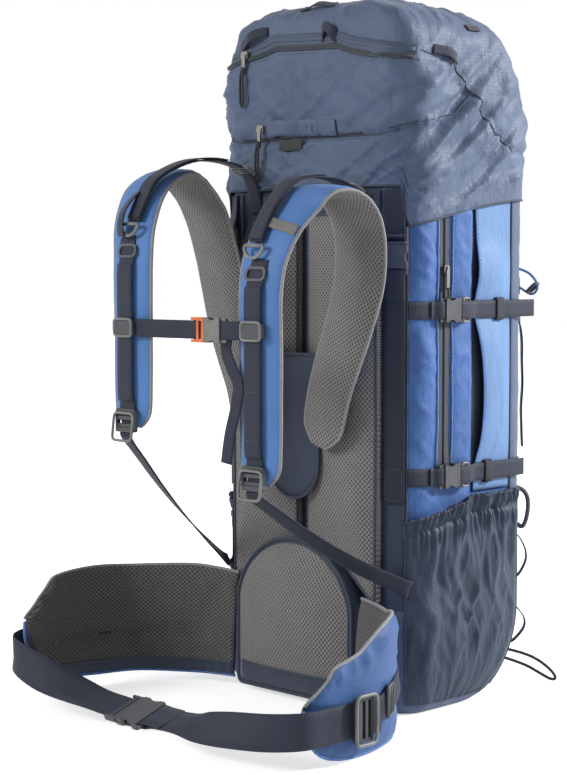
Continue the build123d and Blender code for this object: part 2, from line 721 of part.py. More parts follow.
def make_zips():
    tapes = []
    outer = HALF_WIDTH + SEAT_GAP + ZIP_THICK
    for name, side in SIDES.items():
        tape = block(
            sided(side, HALF_WIDTH + SEAT_GAP, outer),
            (SIDE_ZIP_Y - ZIP_WIDTH / 2, SIDE_ZIP_Y + ZIP_WIDTH / 2),
            (SIDE_ZIP_BOTTOM_Z, SIDE_ZIP_TOP_Z),
        )
        tapes.append(tape)
        origin = (side * (outer + SEAT_GAP), SIDE_ZIP_Y, SIDE_SLIDER_Z)
        frame = Plane(origin=origin, x_dir=(0, 0, 1), z_dir=(side, 0, 0))
        save(f"side_zip_slider_{name}", frame * zip_slider(0))
    save("side_zip_tapes", *tapes)
    rear = LID_REAR_Y - 2 * SEAT_GAP - ZIP_THICK - COIL_THICK
    for name, x, z in (("lid", LID_SLIDER_X, LID_ZIP_Z), ("cover", COVER_SLIDER_X, COVER_ZIP_Z)):
        frame = Plane(origin=(x, rear, z), x_dir=(1, 0, 0), z_dir=(0, -1, 0))
        save(f"{name}_zip_slider", frame * zip_slider(90))


# ---------------------------------------------------------------- shoulder straps
STRAP_SHAPE = {
    "left": {"front_y": -284.0, "top_z": 592.0, "bottom_z": 268.0, "corner_y": -109.4},
    "right": {"front_y": -304.0, "top_z": 617.0, "bottom_z": 320.0, "corner_y": -110.5},
}


def strap_stations(name):
    """Sections of a shoulder pad, from the yoke over the arch and down the chest."""
    side = SIDES[name]
    shape = STRAP_SHAPE[name]
    front_y = shape["front_y"]
    top_z = shape["top_z"]
    bottom_z = shape["bottom_z"]
    leaf_y = STRAP_PIVOT_Y - STRAP_THICK / 2
    chest_x = STRAP_FRONT_X
    rows = [
        (58.0, leaf_y, STRAP_PIVOT_Z + 1.0, 54.0),
        (68.0, leaf_y, STRAP_PIVOT_Z + 60.0, 60.0),
        (94.0, leaf_y, STRAP_PIVOT_Z + 124.0, 66.0),
        (114.0, leaf_y - 2.0, top_z - 102.0, 70.0),
        (124.0, leaf_y - 14.0, top_z - 48.0, 72.0),
        (126.0, leaf_y - 42.0, top_z - 14.0, 72.0),
        (120.0, leaf_y - 76.0, top_z - 7.0, 70.0),
        (108.0, front_y + 36.0, top_z - 26.0, 68.0),
        (98.0, front_y + 10.0, top_z - 62.0, 66.0),
        (chest_x, front_y, top_z - 108.0, 62.0),
        (chest_x, front_y, bottom_z + 34.0, 60.0),
        (chest_x, front_y, bottom_z, 44.0),
    ]
    return [
        ((side * x, y, z), (1, 0, 0), width, STRAP_THICK)
        for x, y, z, width in rows
    ]


def chest_frame(name, z):
    """Frame on a chest pad's outer face: x up the pad, y across it, z outwards."""
    face_y = STRAP_SHAPE[name]["front_y"] - STRAP_THICK / 2
    return Plane(origin=(SIDES[name] * STRAP_FRONT_X, face_y, z), x_dir=(0, 0, 1), z_dir=(0, -1, 0))


def make_shoulder_straps():
    skin = SEAT_GAP + WEB_THICK / 2
    rail = skin + RAIL_LIFT
    for name in SIDES:
        shape = STRAP_SHAPE[name]
        low = shape["bottom_z"] + 34.0
        length = shape["top_z"] - 108.0 - low
        save(f"shoulder_pad_{name}", padded_ribbon(strap_stations(name)))
        points = [(0, skin), (10.0, rail), (length - 10.0, rail), (length, skin)]
        save(f"shoulder_webbing_{name}", strap(edge_plane(chest_frame(name, low)), points, WEB_STRAP))
        lock_frame = chest_frame(name, shape["bottom_z"] + 12.0)
        lock = Pos(0, 0, SEAT_GAP + BUCKLE_THICK / 4) * Rot(0, 0, 180) * ladder_lock(WEB_STRAP)
        ring_frame = chest_frame(name, low + length) * Rot(0, CHEST_LEAN, 0) * Pos(12.0, 0, 0)
        ring = RectangleRounded(16.0, 30.0, 6.0) - RectangleRounded(10.0, 24.0, 4.0)
        ring = Pos(0, 0, SEAT_GAP) * extrude(ring, 3.0)
        save(f"shoulder_hardware_{name}", lock_frame * lock, ring_frame * ring)


def make_load_lifters():
    """Straps from the top of the pack over the arches to the front of the pads."""
    for name, side in SIDES.items():
        crest = STRAP_SHAPE[name]["top_z"]
        front_y = STRAP_SHAPE[name]["front_y"]
        anchor_y = BACK_Y - SEAT_GAP - WEB_THICK / 2
        points = [
            (anchor_y, LID_HEM_Z - 26.0),
            (anchor_y, LID_HEM_Z - 12.0),
            (anchor_y - 18.0, crest - 4.0),
            (anchor_y - 60.0, crest + 8.0),
            (STRAP_PIVOT_Y - 83.0, crest + 5.0),
            (front_y + 30.0, crest - 15.0),
            (front_y - 1.0, crest - 62.0),
        ]
        save(f"load_lifter_{name}", strap(Plane.YZ.offset(side * LIFTER_X), points, WEB_NARROW))


def make_lower_straps():
    """Adjusting straps from the chest pads' ends down to the pack's lower corners."""
    for name, side in SIDES.items():
        low = STRAP_SHAPE[name]["bottom_z"] - 10.5
        frame = chest_frame(name, low)
        start = frame.origin + frame.z_dir * 2.0
        end = Vector(side * 146.0, STRAP_SHAPE[name]["corner_y"], 150.0)
        save(f"lower_strap_{name}", straight_strap(start, end, (side, -0.6, 0.3), WEB_NARROW))


# ---------------------------------------------------------------- sternum strap
def rail_point(name):
    frame = chest_frame(name, STERNUM_Z)
    return frame.origin + frame.z_dir * (SEAT_GAP + WEB_THICK / 2 + RAIL_LIFT)


def sternum_frame(along):
    """Frame on the line from the left chest rail to the right one."""
    left = rail_point("left")
    right = rail_point("right")
    line = (right - left).normalized()
    centre = (left + right) / 2
    return Plane(origin=centre + line * along, x_dir=line, z_dir=(-line.Y, line.X, 0))


def chest_clip(name):
    """Clip that slides on a chest rail and holds one end of the sternum strap."""
    room = WEB_THICK + 2 * SLIDE_GAP
    width = WEB_STRAP + 2 * SLIDE_GAP
    frame = chest_frame(name, STERNUM_Z)
    rail = SEAT_GAP + WEB_THICK / 2 + RAIL_LIFT
    clip = Pos(0, 0, rail + 0.7) * Box(CLIP_HEIGHT, width + 2 * CLIP_WALL, room + CLIP_WALL + 1.4)
    clip -= Pos(0, 0, rail) * Box(2 * CLIP_HEIGHT, width, room)
    return frame * clip


def make_sternum():
    mouth = sternum_frame(STERNUM_MOUTH)
    edge = edge_plane(mouth)
    half_span = (rail_point("left") - rail_point("right")).length / 2
    reach = half_span - WEB_STRAP / 2 - CLIP_WALL - 1.5
    fold = fold_place(WEB_NARROW)
    lift = BAR_THICK + 1.3
    left_end = -reach - STERNUM_MOUTH
    left = [
        (left_end, -WEB_THICK),
        (fold - 6.0, -lift),
        (fold, -lift),
        (fold, lift),
        (fold - 6.0, lift),
        (left_end, WEB_THICK),
    ]
    right = [(reach - STERNUM_MOUTH, 0.0), (LATCH_GAP + BAR_WIDTH + 2.2, 0.0)]
    save("sternum_clips", chest_clip("left"), chest_clip("right"))
    save("sternum_webbing_left", strap(edge, left, WEB_NARROW))
    save("sternum_webbing_right", strap(edge, right, WEB_NARROW))
    save("sternum_socket", mouth * buckle_socket(WEB_NARROW))
    save("sternum_plug", mouth * buckle_plug(WEB_NARROW))


# ---------------------------------------------------------------- hip belt
WING_ROWS = {
    "left": [
        (99.0, -139.0, 12.0, 133.0),
        (158.0, -160.0, 8.0, 129.0),
        (205.0, -206.0, 5.0, 137.0),
        (WING_SIDE_X, -262.0, 3.0, 112.0),
        (WING_SIDE_X, -314.0, 9.0, 98.0),
        (215.0, -342.0, 46.0, 82.0),
    ],
    "right": [
        (98.0, -139.0, 12.0, 138.0),
        (158.0, -160.0, 12.0, 143.0),
        (205.0, -206.0, 14.0, 142.0),
        (WING_SIDE_X, -262.0, 15.0, 144.0),
        (WING_SIDE_X, -322.0, 22.0, 138.0),
        (214.0, -348.0, 56.0, 122.0),
        (210.0, -362.0, 84.0, 112.0),
    ],
}


def make_hip_wings():
    """Padded wings that curve round the hips from both sides of the lumbar pad."""
    for name, side in SIDES.items():
        stations = [
            ((side * x, y, (low + high) / 2), (0, 0, 1), high - low, WING_THICK)
            for x, y, low, high in WING_ROWS[name]
        ]
        save(f"hip_wing_{name}", padded_ribbon(stations))


def waist_frame():
    """Waist buckle: its plug leaves square to the line from between the wing pivots."""
    back = WAIST_MOUTH_X + socket_length(WEB_WAIST) / 2
    arm = Vector(back, WAIST_MOUTH_Y - WING_PIVOT_Y, 0)
    pull = Vector(arm.Y, -arm.X, 0).normalized()
    tilt = math.radians(WAIST_TILT)
    face = arm.normalized() * math.cos(tilt) + Vector(0, 0, math.sin(tilt))
    return Plane(origin=(WAIST_MOUTH_X, WAIST_MOUTH_Y, WAIST_Z), x_dir=pull, z_dir=face)


def make_waist_belt():
    """Waist webbing from the wings' outer faces, turning flat as it droops to the buckle."""
    frame = waist_frame()
    fold = fold_place(WEB_WAIST)
    lift = BAR_THICK + 1.3
    face_x = WING_SIDE_X + WING_THICK / 2 + LAP_GAP + WEB_THICK / 2

    def hang(rows):
        stations = []
        for point, turned in rows:
            turn = math.radians(WAIST_TILT * turned)
            across = (0, math.sin(turn), math.cos(turn))
            stations.append((point, across, WEB_WAIST, WEB_THICK))
        return padded_ribbon(stations)

    def on_frame(along, out):
        return frame.origin + frame.x_dir * along + frame.z_dir * out

    lap = [(fold - 26.0, lift - 2.3), (fold - 6.0, -lift), (fold, -lift), (fold, lift), (fold - 30.0, lift)]
    left = hang(
        [
            ((face_x, -262.0, 44.0), 0),
            ((face_x, -322.0, 44.0), 0),
            ((face_x - 4.0, -358.0, 44.0), 0),
            ((190.0, -374.0, 40.0), 0.15),
            ((140.0, -376.0, 34.0), 0.4),
            ((84.0, -370.0, 27.0), 0.75),
            (on_frame(fold - 30.0, lift), 1),
        ]
    )
    right = hang(
        [
            (on_frame(LADDER_LENGTH + 6.0, 0), 1),
            ((-110.0, -367.0, 29.0), 0.85),
            ((-168.0, -380.0, 44.0), 0.4),
            ((4.0 - face_x, -372.0, 59.0), 0),
            ((-face_x, -322.0, 66.0), 0),
            ((-face_x, -262.0, 68.0), 0),
        ]
    )
    edge = edge_plane(frame)
    tongue = [(LATCH_GAP + BAR_WIDTH + 2.2, 0), (LADDER_LENGTH + 6.0, 0)]
    save("waist_webbing_left", left + strap(edge, lap, WEB_WAIST))
    save("waist_webbing_right", right + strap(edge, tongue, WEB_WAIST))
    save("waist_socket", frame * buckle_socket(WEB_WAIST))
    save("waist_plug", frame * buckle_plug(WEB_WAIST, WAIST_GAP))
    lock_x = face_x + WEB_THICK / 2 + SEAT_GAP + BUCKLE_THICK / 4
    for name, z in (("left", 44.0), ("right", 68.0)):
        side = SIDES[name]
        place = Plane(origin=(side * lock_x, -276.0, z), x_dir=(0, -1, 0), z_dir=(side, 0, 0))
        save(f"waist_ladder_lock_{name}", place * ladder_lock(WEB_WAIST))


# ---------------------------------------------------------------- front attachments
def make_front_trim():
    """Tool loops low on the front and bungee toggles at the upper straps."""
    pieces = []
    for side in SIDES.values():
        skin_y = FRONT_Y + SEAT_GAP + WEB_THICK / 2
        loop = [
            (skin_y, TOOL_LOOP_Z + 36.0),
            (skin_y, TOOL_LOOP_Z + 22.0),
            (skin_y + TOOL_LOOP_STAND, TOOL_LOOP_Z + 10.0),
            (skin_y + TOOL_LOOP_STAND, TOOL_LOOP_Z - 10.0),
            (skin_y, TOOL_LOOP_Z - 22.0),
            (skin_y, TOOL_LOOP_Z - 36.0),
        ]
        pieces.append(strap(Plane.YZ.offset(side * TOOL_LOOP_X), loop, TOOL_LOOP_WIDTH))
    save("tool_loops", *pieces)
    toggles = []
    reach = CORNER_RADIUS + SEAT_GAP + TOGGLE_RADIUS
    off_corner = TOGGLE_X - (HALF_WIDTH - CORNER_RADIUS)
    toggle_y = FRONT_Y - CORNER_RADIUS + math.sqrt(reach**2 - off_corner**2)
    for side in SIDES.values():
        body = Cylinder(TOGGLE_RADIUS, 20.0, align=(Align.CENTER, Align.CENTER, Align.MIN))
        body = Pos(side * TOGGLE_X, toggle_y, TOGGLE_Z) * body
        toggles.append(body)
    save("front_toggles", *toggles)


os.makedirs("parts", exist_ok=True)
make_bag()
make_collar()
make_frame()
make_back_pads()
make_lumbar_pad()
make_adjuster()
make_haul_loop()
make_pockets()
make_compression_straps()
make_lid_straps()
make_lid()
make_lid_trim()
make_zips()
make_shoulder_straps()
make_load_lifters()
make_lower_straps()
make_sternum()
make_hip_wings()
make_waist_belt()
make_front_trim()
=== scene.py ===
import json
import math
import random

import bmesh
import bpy
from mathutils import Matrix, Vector, noise
from mathutils.bvhtree import BVHTree


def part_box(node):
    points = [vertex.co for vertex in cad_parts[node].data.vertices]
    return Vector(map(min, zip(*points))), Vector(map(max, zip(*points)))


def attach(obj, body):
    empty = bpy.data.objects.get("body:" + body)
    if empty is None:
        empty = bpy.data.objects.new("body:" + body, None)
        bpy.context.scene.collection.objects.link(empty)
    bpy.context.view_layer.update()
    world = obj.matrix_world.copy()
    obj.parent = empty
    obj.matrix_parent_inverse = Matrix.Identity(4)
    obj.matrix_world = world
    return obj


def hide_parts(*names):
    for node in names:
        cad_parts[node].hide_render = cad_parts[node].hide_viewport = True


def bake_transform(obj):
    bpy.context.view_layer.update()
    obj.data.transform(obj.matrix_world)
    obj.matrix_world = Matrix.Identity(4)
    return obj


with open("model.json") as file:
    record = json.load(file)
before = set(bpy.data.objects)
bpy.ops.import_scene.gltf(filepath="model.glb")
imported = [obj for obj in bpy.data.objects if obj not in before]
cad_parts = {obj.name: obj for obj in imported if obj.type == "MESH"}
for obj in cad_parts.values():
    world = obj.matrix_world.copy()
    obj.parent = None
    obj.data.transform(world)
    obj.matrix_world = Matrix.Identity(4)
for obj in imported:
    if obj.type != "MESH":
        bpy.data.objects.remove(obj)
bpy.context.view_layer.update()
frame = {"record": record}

MM = 0.001
RNG = random.Random(7)
SIDES = (("left", 1), ("right", -1))
UP = (0, 0, 1)


def box_mm(node):
    """A CAD node's lowest and highest corner, in millimetres."""
    low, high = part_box(node)
    return Vector(low) / MM, Vector(high) / MM


# ------------------------------------------------------------------ materials
class Nodes:
    """The node tree of a material or world, with short calls for the nodes this scene uses."""

    def __init__(self, owner):
        owner.use_nodes = True
        self.owner = owner
        self.tree = owner.node_tree
        self.tree.nodes.clear()

    def new(self, kind, **settings):
        node = self.tree.nodes.new(kind)
        for key, value in settings.items():
            setattr(node, key, value)
        return node

    def put(self, socket, value):
        if isinstance(value, bpy.types.NodeSocket):
            self.tree.links.new(value, socket)
        else:
            socket.default_value = value

    def run(self, kind, values, out=0, **settings):
        """A new node with its first inputs filled in order; returns one of its outputs."""
        node = self.new(kind, **settings)
        for socket, value in zip(node.inputs, values):
            self.put(socket, value)
        return node.outputs[out]

    def math(self, operation, *values):
        return self.run("ShaderNodeMath", values, operation=operation)

    def times(self, a, b):
        return self.math("MULTIPLY", a, b)

    def wave(self, value, period):
        """Rises from 0 to 1 and falls back once in each period."""
        return self.math("ABSOLUTE", self.math("SINE", self.times(value, math.pi / period)))

    def place(self):
        """Across and along the cloth in millimetres, from the piece's own UV map."""
        coords = self.new("ShaderNodeUVMap", uv_map="weave").outputs[0]
        parts = self.new("ShaderNodeSeparateXYZ")
        self.put(parts.inputs[0], coords)
        return coords, parts.outputs[0], parts.outputs[1]

    def solid_place(self):
        """The piece's own coordinates in metres, which ride with it."""
        return self.new("ShaderNodeTexCoord").outputs["Object"]

    def noise(self, vector, scale, detail=3.0, rough=0.55):
        node = self.new("ShaderNodeTexNoise")
        for key, value in (("Vector", vector), ("Scale", scale), ("Detail", detail), ("Roughness", rough)):
            self.put(node.inputs[key], value)
        return node.outputs[0]

    def stretch(self, vector, scale):
        return self.run("ShaderNodeVectorMath", (vector, scale), operation="MULTIPLY")

    def mix(self, factor, low, high):
        node = self.new("ShaderNodeMix", data_type="RGBA")
        for index, value in ((0, factor), (6, low), (7, high)):
            self.put(node.inputs[index], value)
        return node.outputs[2]

    def span(self, value, low, high, to_low=0.0, to_high=1.0):
        return self.run("ShaderNodeMapRange", (value, low, high, to_low, to_high))

    def mix_shaders(self, factor, low, high):
        return self.run("ShaderNodeMixShader", (factor, low, high))

    def seen_directly(self):
        """1 for rays from the camera or off a glossy surface."""
        path = self.new("ShaderNodeLightPath").outputs
        return self.math("MAXIMUM", path["Is Camera Ray"], path["Is Glossy Ray"])


class Surface(Nodes):
    """A new material with its principled shader linked to its output."""

    def __init__(self, name):
        super().__init__(bpy.data.materials.new(name))
        self.out = self.new("ShaderNodeOutputMaterial").inputs["Surface"]
        self.bsdf = self.new("ShaderNodeBsdfPrincipled")
        self.put(self.out, self.bsdf.outputs[0])

    def bump(self, height, strength, distance):
        node = self.new("ShaderNodeBump")
        for key, value in (("Strength", strength), ("Distance", distance), ("Height", height)):
            self.put(node.inputs[key], value)
        self.put(self.bsdf.inputs["Normal"], node.outputs[0])

    def finish(self, color, roughness, **extra):
        self.put(self.bsdf.inputs["Base Color"], color)
        self.put(self.bsdf.inputs["Roughness"], roughness)
        for key, value in extra.items():
            self.bsdf.inputs[key.replace("_", " ")].default_value = value
        return self.owner


def rgba(color, gain=1.0):
    """A colour with its alpha, made lighter or darker by gain."""
    return tuple(min(1.0, channel * gain) for channel in color) + (1.0,)


def ripstop(name, color, cell=4.4, thread=0.4, crinkle=0.9):
    """Coated ripstop: thicker threads in a small grid, over crinkled cloth."""
    n = Surface(name)
    coords, across, along = n.place()
    columns, rows = (n.span(n.wave(value, cell), 0.16, 0.0) for value in (across, along))
    dashes = n.wave(across, cell * 2)
    grid = n.math("MAXIMUM", n.times(rows, n.span(dashes, 0.0, 1.0, 0.55, 1.0)), n.times(columns, 0.3))
    cloud = n.noise(coords, 0.012, 4.0)
    folds = n.noise(n.stretch(coords, (0.05, 0.022, 1.0)), 1.0, 4.0, 0.62)
    fine = n.noise(coords, 0.9, 2.0)
    body = n.mix(n.span(cloud, 0.3, 0.7), rgba(color, 0.86), rgba(color, 1.1))
    body = n.mix(n.times(grid, thread), body, rgba(color, 0.45))
    height = n.math("ADD", n.times(folds, crinkle * 3.0), n.times(grid, 0.16))
    n.bump(n.math("ADD", height, n.times(fine, 0.12)), 0.7, 0.001)
    rough = n.span(fine, 0.3, 0.7, 0.5, 0.64)
    return n.finish(body, rough, Sheen_Weight=0.06, Sheen_Roughness=0.5, Specular_IOR_Level=0.35)


def spacer_mesh(name, light, ground, dark, width=5.0, height=6.0):
    """Spacer mesh: a lattice of pale yarns over grey, with a dark hole in each cell."""
    n = Surface(name)
    coords, across, along = n.place()
    a = n.math("DIVIDE", across, width)
    b = n.math("DIVIDE", along, height)
    waves = [n.wave(n.math(way, a, b), 1.0) for way in ("ADD", "SUBTRACT")]
    net = n.math("MAXIMUM", *[n.span(wave, 0.55, 0.1) for wave in waves])
    hole = n.span(n.math("MINIMUM", *waves), 0.72, 0.93)
    yarn = n.noise(n.stretch(coords, (1.6, 0.7, 1.0)), 1.0, 3.0)
    cloud = n.noise(coords, 0.02, 3.0)
    body = n.mix(n.times(net, n.span(yarn, 0.3, 0.7, 0.6, 1.0)), rgba(ground), rgba(light))
    body = n.mix(n.times(hole, 0.78), body, rgba(dark))
    body = n.mix(n.span(cloud, 0.3, 0.75, 0.0, 0.3), body, rgba(ground, 0.75))
    depth = n.math("ADD", n.times(net, 0.8), n.times(yarn, 0.25))
    n.bump(n.math("SUBTRACT", depth, n.times(hole, 0.9)), 0.7, 0.0009)
    return n.finish(body, 0.85, Sheen_Weight=0.12, Sheen_Roughness=0.6, Specular_IOR_Level=0.2)


def webbing_mat(name, color, gain=1.45):
    """Woven webbing: fine ribs across it and wales along it."""
    n = Surface(name)
    coords, across, along = n.place()
    ribs, wales = n.wave(along, 1.5), n.wave(across, 2.4)
    cloud = n.noise(coords, 0.05, 3.0)
    weave = n.times(n.span(ribs, 0.0, 0.9), n.span(wales, 0.0, 0.7, 0.55, 1.0))
    body = n.mix(weave, rgba(color, 0.75), rgba(color, gain))
    body = n.mix(n.span(cloud, 0.35, 0.8, 0.0, 0.35), body, rgba(color, gain * 1.2))
    n.bump(weave, 0.5, 0.0005)
    return n.finish(body, 0.62, Sheen_Weight=0.05, Specular_IOR_Level=0.3)


def plastic(name, color, rough=0.42, grain=0.25):
    """Moulded plastic with a fine grain and paler rubbed patches."""
    n = Surface(name)
    coords = n.solid_place()
    rubs = n.noise(coords, 60.0, 4.0)
    n.bump(n.noise(coords, 1400.0, 2.0), grain, 0.0002)
    body = n.mix(n.span(rubs, 0.45, 0.8), rgba(color), rgba(color, 1.6))
    return n.finish(body, n.span(rubs, 0.3, 0.8, rough, rough + 0.14), Specular_IOR_Level=0.5)


def metal(name, color, rough=0.3):
    """Drawn metal with fine lengthwise scratches."""
    n = Surface(name)
    scratches = n.noise(n.stretch(n.solid_place(), (900.0, 900.0, 90.0)), 1.0, 3.0)
    body = n.mix(n.span(scratches, 0.4, 0.7), rgba(color, 0.85), rgba(color, 1.1))
    n.bump(scratches, 0.12, 0.0001)
    return n.finish(body, n.span(scratches, 0.3, 0.7, rough, rough + 0.15), Metallic=1.0)


def cloth_solid(name, color, scale=1.0):
    """Plain woven cloth for small pieces with no UV map."""
    n = Surface(name)
    coords = n.solid_place()
    threads = n.noise(coords, 900.0 * scale, 2.0)
    cloud = n.noise(coords, 40.0 * scale, 3.0)
    body = n.mix(n.span(threads, 0.3, 0.7), rgba(color, 0.7), rgba(color, 1.35))
    body = n.mix(n.span(cloud, 0.4, 0.8, 0.0, 0.3), body, rgba(color, 1.5))
    n.bump(threads, 0.5, 0.0004)
    return n.finish(body, 0.75, Sheen_Weight=0.1)


NAVY = (0.085, 0.122, 0.205)
NAVY_DARK = (0.030, 0.042, 0.078)
NAVY_POCKET = (0.028, 0.044, 0.080)
BLUE = (0.052, 0.138, 0.39)
# darker copy of BLUE for the hip wings: painted shade
BLUE_PAINTED_SHADE = (0.045, 0.115, 0.30)
BLUE_PALE = (0.150, 0.280, 0.53)
WEB = (0.016, 0.020, 0.036)

M_NAVY = ripstop("navy_ripstop_cloth", NAVY, thread=0.5, crinkle=1.5)
M_NAVY_DARK = ripstop("navy_edge_cloth", NAVY_DARK, crinkle=0.5)
M_NAVY_EDGE = cloth_solid("navy_fold", (0.045, 0.064, 0.110))
# darker copy of the lid navy for the zip band and its fold: painted shade under the lid's overhang
M_PAINTED_SHADE_FLAP = ripstop("painted_shade_flap_navy", (0.058, 0.082, 0.135), thread=0.5, crinkle=0.4)
M_NAVY_POCKET = ripstop("navy_pocket_cloth", NAVY_POCKET, crinkle=1.7)
M_BLUE = ripstop("blue_ripstop_cloth", BLUE, thread=0.35, crinkle=1.2)
M_BLUE_PAD = ripstop("blue_strap_cloth", (0.092, 0.225, 0.54), thread=0.22, crinkle=0.5)
M_BLUE_PAINTED_SHADE = ripstop("blue_wing_cloth_painted_shade", BLUE_PAINTED_SHADE, thread=0.3, crinkle=0.8)
M_BLUE_PALE = ripstop("blue_pocket_cloth", BLUE_PALE, thread=0.14)
M_MESH = spacer_mesh("grey_spacer_mesh", (0.46, 0.445, 0.435), (0.185, 0.178, 0.176), (0.035, 0.033, 0.033))
M_WEB = webbing_mat("navy_webbing", WEB)
M_WEB_DARK = webbing_mat("keeper_webbing", (0.008, 0.010, 0.018))
M_PIPING = cloth_solid("grey_piping", (0.27, 0.27, 0.28))
M_BINDING = cloth_solid("navy_binding", (0.035, 0.045, 0.075))
M_BLUE_EDGE = cloth_solid("blue_binding", (0.10, 0.21, 0.50))
M_THREAD = cloth_solid("pale_thread", (0.25, 0.33, 0.5))
M_DARK_THREAD = cloth_solid("navy_thread", (0.10, 0.12, 0.19))
M_BUCKLE = plastic("grey_acetal", (0.045, 0.048, 0.055))
M_ORANGE = plastic("orange_acetal", (0.72, 0.15, 0.035), rough=0.36)
M_PALE = plastic("pale_acetal", (0.17, 0.175, 0.175), rough=0.36)
M_SOCKET = plastic("clear_grey_acetal", (0.15, 0.155, 0.15), rough=0.36)
M_WEB_PALE = webbing_mat("faded_webbing", (0.050, 0.052, 0.070))
M_ZIP = webbing_mat("zip_tape_cloth", (0.040, 0.046, 0.062), 1.5)
M_COIL = cloth_solid("zip_coil", (0.025, 0.028, 0.038), 0.6)
M_STEEL = metal("zip_metal", (0.20, 0.19, 0.18), 0.36)
# near-black cloth for the open gap under each gear pocket: painted shade
M_PAINTED_GAP_SHADE = ripstop("gap_cloth_painted_shade", (0.012, 0.016, 0.030))
# darker copy of the grey spacer mesh for the hip wings: painted shade
M_PAINTED_SHADE_MESH = spacer_mesh(
    "painted_shade_wing_mesh", (0.25, 0.243, 0.243), (0.092, 0.088, 0.088), (0.018, 0.017, 0.017)
)
M_LABEL = cloth_solid("label_tape", (0.19, 0.185, 0.17), 1.4)
M_TAG = cloth_solid("woven_tag", (0.022, 0.022, 0.026), 1.4)
M_PLUG = plastic("plug_acetal", (0.060, 0.063, 0.070))
M_INSIDE = ripstop("lining_cloth", (0.16, 0.17, 0.19))
M_SHEET = plastic("sheet_plastic", (0.03, 0.03, 0.03), 0.5)
M_STAY = metal("stay_aluminium", (0.7, 0.7, 0.72), 0.35)


# ------------------------------------------------------------------ mesh helpers
def add_piece(name, verts, faces, mats, body, slot, face_mats=None, uvs=None, replaces=()):
    """A mesh piece from points in millimetres; uvs are millimetres of cloth per vertex."""
    mesh = bpy.data.meshes.new(name)
    mesh.from_pydata([tuple(Vector(v) * MM) for v in verts], [], faces)
    for mat in mats:
        mesh.materials.append(mat)
    mesh.polygons.foreach_set("use_smooth", [True] * len(faces))
    if face_mats:
        mesh.polygons.foreach_set("material_index", face_mats)
    if uvs:
        layer = mesh.uv_layers.new(name="weave")
        for loop in mesh.loops:
            layer.data[loop.index].uv = uvs[loop.vertex_index][:2]
    mesh.update()
    shell = bmesh.new()
    shell.from_mesh(mesh)
    bmesh.ops.recalc_face_normals(shell, faces=shell.faces)
    shell.to_mesh(mesh)
    shell.free()
    piece = bpy.data.objects.new(name, mesh)
    bpy.context.scene.collection.objects.link(piece)
    if body:
        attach(piece, body)
    if replaces:
        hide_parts(*replaces)
    return piece


def catmull(points, per):
    """Points on a smooth curve through the given ones (each a tuple of vectors)."""
    rows = [tuple(Vector(item) for item in row) for row in points]
    rows = [rows[0]] + rows + [rows[-1]]
    out = []
    for index in range(1, len(rows) - 2):
        p0, p1, p2, p3 = rows[index - 1 : index + 3]
        for step in range(per):
            t = step / per
            row = []
            for a, b, c, d in zip(p0, p1, p2, p3):
                square, cube = (2 * a - 5 * b + 4 * c - d) * t**2, (3 * b - a - 3 * c + d) * t**3
                row.append(0.5 * (2 * b + (c - a) * t + square + cube))
            out.append(tuple(row))
    out.append(rows[-2])
    return out


def frames_along(points):
    """Tangents of a polyline of vectors."""
    last = len(points) - 1
    return [(points[min(i + 1, last)] - points[max(i - 1, 0)]).normalized() for i in range(last + 1)]


def lengths(points):
    """Distance run at each point of a polyline."""
    out = [0.0]
    for a, b in zip(points, points[1:]):
        out.append(out[-1] + (b - a).length)
    return out


def quads(rows, columns, closed=True, looped=False, base=0):
    """Faces of a grid of points, row by row; closed joins its columns and looped its rows."""
    faces = []
    for i in range(rows if looped else rows - 1):
        low, high = base + i * columns, base + (i + 1) % rows * columns
        for j in range(columns if closed else columns - 1):
            k = (j + 1) % columns
            faces.append((low + j, low + k, high + k, high + j))
    return faces


def fan(start, count, pole):
    """Triangles from a ring of points to one pole."""
    return [(start + j, start + (j + 1) % count, pole) for j in range(count)]


def ribbon(name, rows, width, body, mat=M_WEB, slot="webbing", thick=1.7, per=6, replaces=(), wave=0.25):
    """Webbing along (point, across) rows, woven to its full width, with soft edges."""
    path = catmull(rows, per)
    centres = [row[0] for row in path]
    half = width / 2
    soft = 0.5
    across_steps = [-half + soft, -half * 0.5, 0.0, half * 0.5, half - soft]
    section = [(-half, 0.0)] + [(x, thick / 2) for x in across_steps]
    section += [(half, 0.0)] + [(x, -thick / 2) for x in reversed(across_steps)]
    size = len(section)
    verts, uvs = [], []
    seed = RNG.random() * 50
    for (centre, across), tangent, at in zip(path, frames_along(centres), lengths(centres)):
        side = (across - tangent * across.dot(tangent)).normalized()
        out = tangent.cross(side)
        lift = wave * noise.noise(Vector((at * 0.03, seed, 0.0)))
        for x, y in section:
            verts.append(centre + side * x + out * (y + lift))
            uvs.append((x, at))
    faces = quads(len(path), size)
    faces += [tuple(reversed(range(size))), tuple(range(len(verts) - size, len(verts)))]
    return add_piece(name, verts, faces, [mat], body, slot, uvs=uvs, replaces=replaces)


def flat_ribbon(name, points, across, width, body, **settings):
    """Webbing that keeps one direction across all the way."""
    return ribbon(name, [(point, across) for point in points], width, body, **settings)


